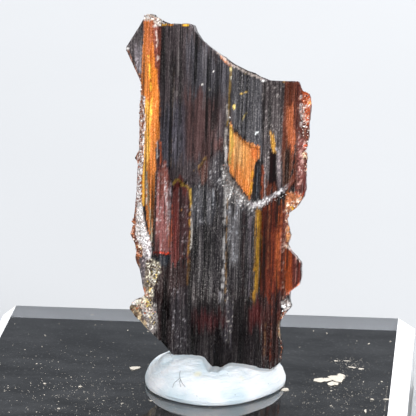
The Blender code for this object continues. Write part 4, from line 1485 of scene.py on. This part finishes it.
@dataclass(frozen=True)
class Brookite:
    """Brookite, titanium oxide: brown-black to amber, striated, with an almost metallic gloss on its faces.

    Real brookite has an IOR near 2.6. Its striae are finer than the picture shows, so they are drawn as
    coarse as 0.05 mm, and the IOR is matched lower because the real faces scatter part of their gloss.
    The seams are dark lines, the mottle changes the gloss, and the pale lines are painted highlights added
    to the base colour: a sheen on the striae's crests and glints along them.
    """

    ior: float = 1.5
    specular_level: float = 0.16
    face_roughness: Pair = (0.16, 0.40)
    crust_roughness: float = 0.38
    stria_mm: Triple = (0.05, 0.6, 1.8)
    fine_mm: Triple = (0.05, 0.08, 0.09)
    seam_mm: Triple = (0.09, 0.6, 6.0)
    mottle_mm: Triple = (0.16, 0.3, 0.3)
    grain_mm: float = 0.07
    line_gain: Pair = (0.45, 1.6)
    seam_gain: Pair = (0.30, 1.0)
    grain_gain: Pair = (0.30, 1.45)
    # Painted highlights: the crest sheen, the glints, how far glints keep off the striae, and their tint
    crest_highlight: float = 0.095
    glint_light: float = 0.10
    glint_least: float = 0.12
    highlight_tint: str = "#FFF8F2"
    relief_mm: float = 0.03
    relief: float = 0.5
    light_through: float = 0.7

    def material(self) -> bpy.types.Material:
        """Builds the material, which reads the piece's tint, grit, clear and painted highlight attributes,
        and paints the highlights into its colour.

        Returns:
            The material.
        """
        material, tree, shader = new_material("brookite_striated")
        nodes = Nodes(tree)
        tint = add_node(tree, "ShaderNodeAttribute", attribute_name="tint").outputs["Color"]
        grit, clear, painted_gleam = (add_node(tree, "ShaderNodeAttribute", attribute_name=name).outputs["Fac"]
                              for name in ("grit", "clear", "painted_gleam"))
        lines = nodes.noise(self.stria_mm, 2.0, 0.6, LEAN)
        fine = nodes.noise(self.fine_mm, 2.0, 0.7, LEAN)
        seams = nodes.ranged(nodes.noise(self.seam_mm, 1.0, 0.5, LEAN), (0.30, 0.40), self.seam_gain)
        grains = nodes.grains(self.grain_mm)
        both = nodes.mixed(0.5, lines, fine)
        line_gain = nodes.ranged(both, (0.36, 0.64), self.line_gain)
        seamed = nodes.sum_up("MULTIPLY", line_gain, nodes.mixed(clear, seams, 1.0))
        grain_gain = nodes.ranged(nodes.channel(grains.outputs["Color"], "Red"), target=self.grain_gain)
        colour = nodes.sum_up_colours("MULTIPLY", tint, nodes.mixed(grit, seamed, grain_gain))
        # Painted highlights: pale crest lines and glints along the striae, added to the base colour
        crest = nodes.ranged(both, (0.50, 0.66), (0.0, self.crest_highlight))
        spark = nodes.ranged(fine, (0.56, 0.70), (0.0, self.glint_light))
        aligned = nodes.ranged(lines, (0.45, 0.60), (self.glint_least, 1.0))
        light = nodes.sum_up("ADD", crest, nodes.sum_up("MULTIPLY", spark, aligned))
        painted_highlights = add_node(tree, "ShaderNodeVectorMath", {
            0: linear(self.highlight_tint).tolist(), "Scale": nodes.sum_up("MULTIPLY", light, painted_gleam)},
            operation="SCALE").outputs["Vector"]
        gloss = nodes.ranged(nodes.noise(self.mottle_mm, 4.0, 0.7), (0.3, 0.7), self.face_roughness)
        relief = nodes.mixed(grit, lines, grains.outputs["Distance"])
        fill_inputs(tree, shader, {
            "Base Color": nodes.sum_up_colours("ADD", colour, painted_highlights),
            "Roughness": nodes.mixed(grit, gloss, self.crust_roughness),
            "Normal": nodes.bump(relief, self.relief, self.relief_mm),
            "Transmission Weight": nodes.sum_up("MULTIPLY", clear, self.light_through),
            "IOR": self.ior, "Specular IOR Level": self.specular_level,
        })
        return material


@dataclass(frozen=True)
class MineralTack:
    """Mineral tack, a pale blue-white wax and clay putty: soft sheen, finger-smoothed, dust in its skin.

    The yellow stains lie at pixels of the photograph, on the skin stain_depth in front of the blade.
    Of the dust's cells only those whose random channel is above dust_share show a speck.
    """

    pale: str = "#DCDFE3"
    shade: str = "#BCCBD3"
    speck: str = "#4A4E52"
    stain: str = "#E2D6A4"
    stains: tuple[Pixel, ...] = ((198, 376), (243, 376))
    stain_depth: float = 2.6
    stain_mm: Pair = (0.10, 0.34)
    stain_cover: float = 0.6
    drag_mm: Triple = (1.2, 1.2, 0.2)
    blot_mm: Triple = (1.6, 1.6, 1.2)
    dust_mm: float = 0.34
    dust_cells: Pair = (0.05, 0.13)
    dust_cover: float = 0.6
    dust_share: float = 0.82
    roughness: Pair = (0.42, 0.62)
    relief_mm: float = 0.4
    relief: float = 0.55
    glow: float = 0.35
    glow_mm: float = 0.6
    glow_tint: Triple = (0.5, 0.6, 0.7)
    ior: float = 1.45

    def material(self) -> bpy.types.Material:
        """Builds the material.

        Returns:
            The material.
        """
        material, tree, shader = new_material("mineral_tack_putty")
        nodes = Nodes(tree)
        drag = nodes.noise(self.drag_mm, 5.0, 0.65, distortion=0.4)
        blot = nodes.ranged(nodes.noise(self.blot_mm, 2.0), (0.35, 0.7))
        colour = nodes.mixed(blot, rgba(self.pale), rgba(self.shade), "RGBA")
        position = add_node(tree, "ShaderNodeTexCoord").outputs["Object"]
        for pixel in self.stains:
            middle = PHOTO.meet(pixel, 1, BLADE.foot_y - self.stain_depth) * MM
            ends = {0: position, 1: middle.tolist()}
            gap = add_node(tree, "ShaderNodeVectorMath", ends, operation="DISTANCE").outputs["Value"]
            mark = nodes.ranged(gap, (self.stain_mm[0] * MM, self.stain_mm[1] * MM), (self.stain_cover, 0.0))
            colour = nodes.mixed(mark, colour, rgba(self.stain), "RGBA")
        dust = nodes.grains(self.dust_mm)
        near = nodes.ranged(dust.outputs["Distance"], self.dust_cells, (self.dust_cover, 0.0))
        few = nodes.sum_up("GREATER_THAN", nodes.channel(dust.outputs["Color"], "Green"), self.dust_share)
        colour = nodes.mixed(nodes.sum_up("MULTIPLY", near, few), colour, rgba(self.speck), "RGBA")
        fill_inputs(tree, shader, {
            "Base Color": colour, "Roughness": nodes.ranged(drag, target=self.roughness),
            "Normal": nodes.bump(drag, self.relief, self.relief_mm), "Subsurface Weight": self.glow,
            "Subsurface Radius": self.glow_tint, "Subsurface Scale": self.glow_mm * MM, "IOR": self.ior,
        })
        return material


class Wall(Enum):
    """The finishes on the acrylic block's faces, by material slot."""

    POLISHED = 0
    BEVELLED = 1
    FROSTED = 2
    PAINTED = 3


@dataclass(frozen=True)
class Acrylic:
    """Cast acrylic sheet, clear, with a polished top that gathers dust and a hazy film.

    The coat's IOR is matched high, because the photograph shows a bright mirror image in the top.
    """

    haze: str = "#E6EAF0"
    ior: float = 1.56
    polish: float = 1.0
    polish_ior: float = 1.75
    polish_roughness: float = 0.03
    smudge_mm: Triple = (3.2, 1.6, 3.0)
    dust_mm: Triple = (0.16, 0.22, 0.2)
    film: Pair = (0.016, 0.054)
    dust_cover: float = 0.08
    roughness: Pair = (0.02, 0.10)

    def material(self) -> bpy.types.Material:
        """Builds the polished top's material.

        Returns:
            The material.
        """
        material, tree, shader = new_material("acrylic_polished")
        nodes = Nodes(tree)
        smudge = nodes.noise(self.smudge_mm, 4.0, 0.55)
        film = nodes.ranged(smudge, (0.35, 0.75), self.film)
        dust = nodes.ranged(nodes.noise(self.dust_mm, 3.0, 0.7), (0.58, 0.75), (0.0, self.dust_cover))
        clear = nodes.sum_up("SUBTRACT", 1.0, nodes.sum_up("ADD", film, dust))
        fill_inputs(tree, shader, {
            "Base Color": rgba(self.haze), "Roughness": nodes.ranged(smudge, target=self.roughness),
            "IOR": self.ior, "Transmission Weight": clear, "Coat Weight": self.polish,
            "Coat IOR": self.polish_ior, "Coat Roughness": self.polish_roughness,
        })
        return material


@dataclass(frozen=True)
class CutAcrylic:
    """Saw-cut acrylic, matt and white with fine tool marks; the walls let scattered light through.

    A frosted wall scatters light at slopes that this shader's roughness can't reach, so its IOR is
    matched low, which lets through what a smooth wall would turn back.
    """

    name: str
    light_through: float = 0.0
    ior: float = 1.49
    pale: str = "#F4F5F7"
    mark_mm: Triple = (0.72, 0.72, 0.12)
    roughness: Pair = (0.5, 0.75)
    relief_mm: float = 0.05
    relief: float = 0.3

    def material(self) -> bpy.types.Material:
        """Builds the material.

        Returns:
            The material.
        """
        material, tree, shader = new_material(self.name)
        nodes = Nodes(tree)
        marks = nodes.noise(self.mark_mm, 3.0)
        shader.distribution = "MULTI_GGX"
        fill_inputs(tree, shader, {
            "Base Color": rgba(self.pale), "Roughness": nodes.ranged(marks, target=self.roughness),
            "Normal": nodes.bump(marks, self.relief, self.relief_mm), "IOR": self.ior,
            "Transmission Weight": self.light_through,
        })
        return material


@dataclass(frozen=True)
class BlackPaint:
    """Black paint on the block's underside, seen through the clear acrylic as a deep even dark."""

    colour: str = "#101114"
    brush_mm: Triple = (2.0, 0.5, 1.0)
    roughness: Pair = (0.4, 0.6)

    def material(self) -> bpy.types.Material:
        """Builds the material.

        Returns:
            The material.
        """
        material, tree, shader = new_material("black_underside_paint")
        nodes = Nodes(tree)
        gloss = nodes.ranged(nodes.noise(self.brush_mm, 3.0), target=self.roughness)
        fill_inputs(tree, shader, {"Base Color": rgba(self.colour), "Roughness": gloss})
        return material


@dataclass(frozen=True)
class MattSurface:
    """A plain matt surface with faint tone changes: paper, lint or mineral dust by its colours."""

    name: str
    colour: str
    second: str
    size_mm: float
    roughness: float = 0.8

    def material(self) -> bpy.types.Material:
        """Builds the material.

        Returns:
            The material.
        """
        material, tree, shader = new_material(self.name)
        nodes = Nodes(tree)
        tone = nodes.noise((self.size_mm,) * 3, 3.0)
        base = nodes.mixed(tone, rgba(self.colour), rgba(self.second), "RGBA")
        fill_inputs(tree, shader, {"Base Color": base, "Roughness": self.roughness})
        return material


# The tack

@dataclass
class TackPat:
    """The pat of tack: a ball pressed flat, with a notched lip in front of the blade and drag marks.

    The profile gives (share of the radius, share of the height) at stations up the ball. The crown is
    lower in front of the blade, and its waves are (number round the pat, size, turn).
    """

    radius: float = 4.0
    height: float = 2.0
    front_height: float = 1.78
    front_ends: Pair = (-0.4, 0.9)
    foot: float = 0.01
    centre: Pair = (-0.03, 0.10)
    segments: int = 220
    rings: int = 90
    profile: Line = (
        (0.0, 0.0), (0.955, 0.0), (0.995, 0.06), (1.0, 0.18), (0.965, 0.36), (0.895, 0.55), (0.78, 0.74),
        (0.62, 0.88), (0.44, 0.96), (0.26, 1.0), (0.0, 1.0),
    )
    stations: tuple[float, ...] = (0.0, 0.24, 0.30, 0.37, 0.46, 0.56, 0.66, 0.75, 0.83, 0.90, 1.0)
    waves: tuple[Triple, ...] = ((3, 0.018, 0.6), (5, 0.012, 2.0))
    # Swells and hollows: (u, w, reach, rise)
    marks: tuple[Band, ...] = (
        (-1.55, -1.60, 1.20, 0.10), (1.75, -1.60, 1.10, -0.04), (3.62, 0.30, 0.45, 0.30),
        (0.60, 2.60, 1.60, 0.16), (-2.70, 2.10, 1.50, -0.42), (2.80, 2.20, 1.00, 0.10),
        (0.20, -1.30, 0.50, -0.10), (-3.05, 0.80, 1.00, -0.30),
    )
    # Height of the tack where it meets the blade's front, as (u, height)
    meeting: Line = (
        (-2.90, 1.56), (-2.38, 1.62), (-1.60, 1.66), (-0.72, 1.60), (-0.52, 1.50), (-0.12, 0.98),
        (0.10, 1.03), (0.40, 0.98), (0.76, 1.22), (0.96, 1.30), (1.80, 1.22), (2.65, 1.02),
        (3.20, 0.96), (3.60, 1.10),
    )
    # Where the pressed strip begins and ends: to the left, to the right, behind and in front
    press_left: Pair = (-3.2, -2.7)
    press_right: Pair = (3.3, 3.7)
    press_behind: Pair = (0.2, 0.9)
    press_before: Pair = (0.35, 1.0)
    press_crown: Pair = (0.35, 0.6)
    least_station: float = 0.3
    ramp: float = 0.24
    ramp_start: float = 0.2
    drag: ValueNoise = ValueNoise(51, (1.1, 3.5))
    drag_slant: float = 0.5
    drag_depth: float = 0.05
    lumps: ValueNoise = ValueNoise(52, (3.5, 3.5))
    lump_depth: float = 0.03
    folds: ValueNoise = ValueNoise(53, (6.0, 2.2), 20.0)
    fold_depth: float = 0.010

    def lift(self, u: Array, w: Array) -> Array:
        """How far the tack's crown stands above or below its plain height.

        Args:
            u: Places across the blade.
            w: Depths.

        Returns:
            The lift, in millimetres.
        """
        rise = np.zeros_like(u)
        for mark_u, mark_w, reach, height in self.marks:
            rise += height * np.exp(-2 * ((u - mark_u) ** 2 + (w - mark_w) ** 2) / reach ** 2)
        rise += (self.front_height - self.height) * (1 - smooth_step(*self.front_ends, w))
        drag = self.drag_depth * (self.drag(u, w, (self.drag_slant * w, 0.0)) - 0.5)
        return rise + drag + self.lump_depth * (self.lumps(u, w) - 0.5)

    def press(self, u: Array, w: Array, v: Array, crown: Array) -> Array:
        """Presses the tack against the blade's front, so that its edge follows the line of contact.

        Args:
            u: The points' places across the blade.
            w: Their depths.
            v: Their heights before.
            crown: 1 on the pat's upper side, 0 on its foot.

        Returns:
            Their heights after.
        """
        places, heights = np.array(self.meeting).T
        wanted = np.interp(u, places, heights) + self.ramp * np.maximum(-w - self.ramp_start, 0)
        sides = smooth_step(*self.press_left, u) * (1 - smooth_step(*self.press_right, u))
        before = sides * (1 - smooth_step(*self.press_behind, w))
        lowered = np.where(v > wanted, v + (wanted - v) * before * crown, v)
        return blend(lowered, wanted, before * (1 - smooth_step(*self.press_before, -w)) * crown)

    def build(self) -> Piece:
        """Presses a ball to the pat's profile and marks it.

        Returns:
            The finished tack.
        """
        pat = add_primitive(bpy.ops.mesh.primitive_uv_sphere_add, segments=self.segments,
                            ring_count=self.rings)
        ball = points_of(pat)
        angle = np.arctan2(ball[:, 1], ball[:, 0])
        station = np.arcsin(np.clip(ball[:, 2], -1, 1)) / math.pi + 0.5
        radii, heights = np.array(self.profile).T
        height_share = np.interp(station, self.stations, heights)
        waver = sum((size * np.sin(number * angle + turn) for number, size, turn in self.waves), start=1.0)
        radius = self.radius * waver * np.interp(station, self.stations, radii)
        centre_u, centre_w = self.centre
        u, w = centre_u + radius * np.cos(angle), centre_w + radius * np.sin(angle)
        v = self.foot + (self.height + self.lift(u, w)) * height_share
        crown = smooth_step(*self.press_crown, height_share) * (station > self.least_station)
        v = self.press(u, w, v, crown)
        folds = self.fold_depth * (self.folds(angle, v) - 0.5)
        bulge = 1 + folds * np.sin(np.clip(height_share, 0, 1) * math.pi)
        points = np.column_stack([centre_u + (u - centre_u) * bulge, centre_w + (w - centre_w) * bulge, v])
        set_points(pat, BLADE.to_world(points))
        apply_modifier(pat, "SMOOTH", factor=0.5, iterations=2)
        face_outwards(pat)
        bpy.ops.object.shade_smooth()
        pat.data.materials.append(MineralTack().material())
        return settle(pat, "tack_pat", ("mineral_tack",))


@dataclass
class LintHair:
    """A forked grey hair of lint stuck on the tack's front, aimed at through the photograph's pixels."""

    tack: Piece
    radius: float = 0.010
    aim_depth: float = 3.0
    finish: MattSurface = MattSurface("grey_lint", "#404146", "#707176", 0.3)
    # Each strand as pixels of the photograph
    strands: tuple[tuple[Pixel, ...], ...] = (
        ((180.2, 371), (179.6, 375), (180.2, 379), (182, 383), (185.4, 387)),
        ((180.0, 378), (176.6, 381), (173.6, 384), (172.8, 387.5)),
        ((180.2, 379), (179.8, 383), (180.8, 387)),
    )

    def build(self) -> Piece:
        """Lays the strands on the tack as fine tubes.

        Returns:
            The finished lint.
        """
        camera = Vector(PHOTO.place()) * MM
        data = bpy.data.curves.new("lint", "CURVE")
        data.dimensions = "3D"
        data.bevel_depth = self.radius * MM
        data.bevel_resolution = 1
        data.use_fill_caps = True
        for strand in self.strands:
            places = []
            for pixel in strand:
                aim = Vector(PHOTO.meet(pixel, 1, BLADE.foot_y - self.aim_depth)) * MM
                hit, place, normal, _ = self.tack.ray_cast(camera, (aim - camera).normalized())
                if hit:
                    places.append(place + normal * self.radius * MM)
            spline = data.splines.new("POLY")
            spline.points.add(len(places) - 1)
            for point, place in zip(spline.points, places):
                point.co = (*place, 1.0)
        only(add_object("lint", data))
        bpy.ops.object.convert(target="MESH")
        lint = bpy.context.active_object
        lint.data.materials.append(self.finish.material())
        return settle(lint, "lint_hair")


# The block

@dataclass
class AcrylicBlock:
    """The square block: polished clear top, matt cut walls and bevels, black painted underside.

    A face is level when its normal's z is past level_z, and a bevel when it is past bevel_z.
    """

    bevel: float = 1.0
    edge_round: float = 0.05
    level_z: float = 0.97
    bevel_z: float = 0.2
    smooth_angle: float = math.radians(40)
    frosted: CutAcrylic = CutAcrylic("acrylic_frosted_wall", light_through=0.75, ior=1.08)

    def build(self) -> Piece:
        """Cuts the block and gives each face its finish.

        Returns:
            The finished block.
        """
        low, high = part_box("acrylic_block")
        size, middle = high - low, (low + high) / 2
        block = add_primitive(bpy.ops.mesh.primitive_cube_add, size=1.0, location=middle, scale=size)
        bpy.ops.object.transform_apply(location=True, rotation=True, scale=True)
        self.bevel_edges(block, middle.z, self.bevel, 1)
        self.bevel_edges(block, low.z - size.z, self.edge_round, 2)
        face_outwards(block)
        bpy.ops.object.shade_smooth_by_angle(angle=self.smooth_angle)
        for finish in (Acrylic(), CutAcrylic("acrylic_cut_bevel"), self.frosted, BlackPaint()):
            block.data.materials.append(finish.material())
        for face in block.data.polygons:
            face.material_index = self.wall_of(face).value
        return settle(block, "acrylic_block_cut", ("acrylic_block",))

    def wall_of(self, face: bpy.types.MeshPolygon) -> Wall:
        """Chooses the finish of a face by where it looks.

        Args:
            face: The face.

        Returns:
            The finish.
        """
        if face.normal.z > self.level_z:
            return Wall.POLISHED
        if face.normal.z > self.bevel_z:
            return Wall.BEVELLED
        return Wall.PAINTED if face.normal.z < -self.level_z else Wall.FROSTED

    @staticmethod
    def bevel_edges(block: Piece, above: float, width: float, segments: int) -> None:
        """Bevels the edges that lie wholly above a height.

        Args:
            block: The block.
            above: The height, in metres.
            width: The bevel's width, in millimetres.
            segments: The number of its segments.
        """
        mesh = block.data
        for kind in (mesh.vertices, mesh.edges, mesh.polygons):
            kind.foreach_set("select", [False] * len(kind))
        for edge in mesh.edges:
            edge.select = all(mesh.vertices[i].co.z > above for i in edge.vertices)
        bpy.context.tool_settings.mesh_select_mode = (False, True, False)
        bpy.ops.object.mode_set(mode="EDIT")
        bpy.ops.mesh.bevel(offset=width * MM, segments=segments, affect="EDGES")
        bpy.ops.object.mode_set(mode="OBJECT")


@dataclass
class BlockDust:
    """Chips and dust lying on the block's top: a few larger pale chips where they lie, and strewn specks.

    A chip is a lumpy ball cut flat below and above, with waves of (number, size) round its outline. A
    grain's size is (least, most above it, power of the draw).
    """

    seed: int = 5
    specks: int = 170
    speck_size: Triple = (0.012, 0.024, 3)
    speck_length: float = 3
    cloud_size: Triple = (0.009, 0.011, 2)
    cloud_length: float = 2.4
    flatness: float = 0.6
    rim: float = 1.2
    waves: Line = ((2, 0.16), (3, 0.14), (5, 0.10))
    jitter: Pair = (0.9, 1.1)
    lower_cut: float = 0.8
    upper_cut: float = 0.5
    finish: MattSurface = MattSurface("mineral_dust", "#D8D2C6", "#A8A096", 0.2)
    # Larger chips: (pixel, half length, half width, half thickness, turn in degrees), sizes in millimetres
    chips: tuple[tuple[Pixel, float, float, float, float], ...] = (
        ((134.6, 368.4), 0.30, 0.26, 0.04, 3), ((319, 380.4), 0.34, 0.30, 0.03, 14),
        ((327, 380), 0.30, 0.26, 0.03, 0), ((337, 379), 0.46, 0.50, 0.05, -6),
        ((333, 384), 0.28, 0.34, 0.04, 20), ((341, 376), 0.26, 0.30, 0.03, 0),
        ((352, 367.4), 0.22, 0.10, 0.015, -14), ((361, 369), 0.14, 0.12, 0.015, 20),
        ((336, 361), 0.12, 0.08, 0.01, 8), ((347, 361), 0.20, 0.06, 0.01, -8),
        ((285, 390), 0.26, 0.20, 0.03, 30), ((372, 399.6), 0.12, 0.06, 0.03, 0),
        ((386, 399.6), 0.16, 0.06, 0.03, 4), ((365.4, 411.5), 0.05, 0.30, 0.03, 5),
        ((151, 401), 0.09, 0.06, 0.03, 0), ((80, 387), 0.10, 0.07, 0.04, 40),
        ((44.6, 384), 0.07, 0.07, 0.04, 0), ((58.6, 409), 0.07, 0.05, 0.04, 0),
    )
    # Fine dust: (pixel in its middle, spread across, spread in depth, number), spreads in millimetres
    clouds: tuple[tuple[Pixel, float, float, int], ...] = (
        ((350, 365), 0.6, 0.8, 110), ((90, 397), 2.8, 2.4, 420), ((345, 400), 2.0, 2.0, 300),
        ((60, 368), 3.0, 3.0, 90),
    )
    draw: np.random.Generator = field(init=False)
    heap: Heap = field(init=False)
    top: float = field(init=False)

    def lay(self, x: float, y: float, half: Triple, turn: float) -> None:
        """Adds one chip that rests on the block's top.

        Args:
            x: Its place to the right, in millimetres.
            y: Its place in depth, in millimetres.
            half: Its half length, half width and half thickness, in millimetres.
            turn: How far it is turned about the vertical, in radians.
        """
        ball, thickness = self.heap.ball, half[2]
        angle = np.arctan2(ball[:, 1], ball[:, 0])
        phases = self.draw.uniform(0, math.tau, len(self.waves))
        ragged = sum((size * np.cos(number * angle + phase)
                      for (number, size), phase in zip(self.waves, phases)), start=1.0)
        lumps = ball * self.draw.uniform(*self.jitter, (len(ball), 1)) * np.array(half)
        lumps[:, :2] *= ragged[:, None]
        lumps[:, 2] = np.clip(lumps[:, 2], -self.lower_cut * thickness, self.upper_cut * thickness)
        cos, sin = math.cos(turn), math.sin(turn)
        turned = lumps @ np.array([[cos, sin, 0], [-sin, cos, 0], [0, 0, 1]])
        self.heap.chips.append((turned + np.array([x, y, self.top + self.lower_cut * thickness])) * MM)

    def lay_grain(self, x: float, y: float, size: Triple, longest: float) -> None:
        """Adds one grain of random size, length and turn.

        Args:
            x: Its place to the right, in millimetres.
            y: Its place in depth, in millimetres.
            size: Its least half width, the most above that, and the power of the draw.
            longest: Its greatest length as a share of its width.
        """
        least, more, power = size
        width = least + more * self.draw.random() ** power
        half = (width * self.draw.uniform(1, longest), width, width * self.flatness)
        self.lay(x, y, half, self.draw.uniform(0, math.pi))

    def build(self) -> Piece:
        """Lays out the chips and grains in one mesh.

        Returns:
            The finished dust.
        """
        low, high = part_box("acrylic_block")
        self.draw, self.heap, self.top = np.random.default_rng(self.seed), Heap(subdivisions=2), high.z / MM
        for pixel, *half, turn in self.chips:
            x, y, _ = PHOTO.meet(pixel, 2, self.top)
            self.lay(x, y, tuple(half), math.radians(turn))
        reach = (high - low).x / MM / 2 - self.rim
        for pixel, spread_x, spread_y, count in self.clouds:
            middle = PHOTO.meet(pixel, 2, self.top)
            for _ in range(count):
                place = self.draw.normal(middle[0], spread_x), self.draw.normal(middle[1], spread_y)
                self.lay_grain(*np.clip(place, -reach, reach), self.cloud_size, self.cloud_length)
        for _ in range(self.specks):
            x, y = self.draw.uniform(-reach, reach), self.draw.uniform(-reach, reach)
            self.lay_grain(x, y, self.speck_size, self.speck_length)
        dust = self.heap.join("block_dust")
        dust.data.materials.append(self.finish.material())
        return settle(dust, "block_dust")


# The studio

@dataclass(frozen=True)
class Softbox:
    """One soft light: where it stands and how large and bright it is, in metres and watts.

    One that isn't mirrored lights the surfaces but doesn't show in their gloss.
    """

    name: str
    place: Triple
    side: float
    power: float
    mirrored: bool = True

    def build(self, target: Vector) -> None:
        """Adds the light, turned towards the target.

        Args:
            target: The place it looks at, in metres.
        """
        data = bpy.data.lights.new(self.name, "AREA")
        data.shape = "SQUARE"
        data.size = self.side
        data.energy = self.power
        lamp = add_object(self.name, data)
        lamp.location = self.place
        lamp.visible_glossy = self.mirrored
        lamp.rotation_euler = (target - Vector(self.place)).to_track_quat("-Z", "Y").to_euler()


@dataclass
class Studio:
    """The pale floor, the soft lights and the grey room around them."""

    floor_side: float = 4.0
    floor: MattSurface = MattSurface("pale_floor", "#A4A6A9", "#A8AAAD", 40, 0.8)
    room: str = "#5E6166"
    target: Triple = (0.001, 0.0, 0.014)
    lights: tuple[Softbox, ...] = (
        Softbox("key_right", (0.24, -0.20, 0.24), 0.22, 1.7),
        Softbox("fill_left", (-0.28, -0.14, 0.18), 0.20, 0.75),
        Softbox("front_low", (0.06, -0.34, 0.07), 0.16, 0.66, mirrored=False),
        Softbox("top_back", (0.02, 0.22, 0.25), 0.20, 1.5),
    )

    def build(self) -> None:
        """Sets the stage."""
        floor = add_primitive(bpy.ops.mesh.primitive_plane_add, size=self.floor_side)
        floor.name = "floor"
        floor.data.materials.append(self.floor.material())
        world = bpy.data.worlds.new("room")
        bpy.context.scene.world = world
        world.use_nodes = True
        world.node_tree.nodes["Background"].inputs["Color"].default_value = rgba(self.room)
        for light in self.lights:
            light.build(Vector(self.target))
        bpy.context.scene.view_settings.view_transform = "Standard"


def main() -> None:
    """Builds the studio and the pieces in order."""
    logging.basicConfig(level=logging.INFO, format="%(message)s")
    PHOTO.build()
    Studio().build()
    AcrylicBlock().build()
    tack = TackPat().build()
    LintHair(tack).build()
    blade = Blade().build()
    CrustGrains(blade).build()
    BlockDust().build()


if __name__ == "__main__":
    main()
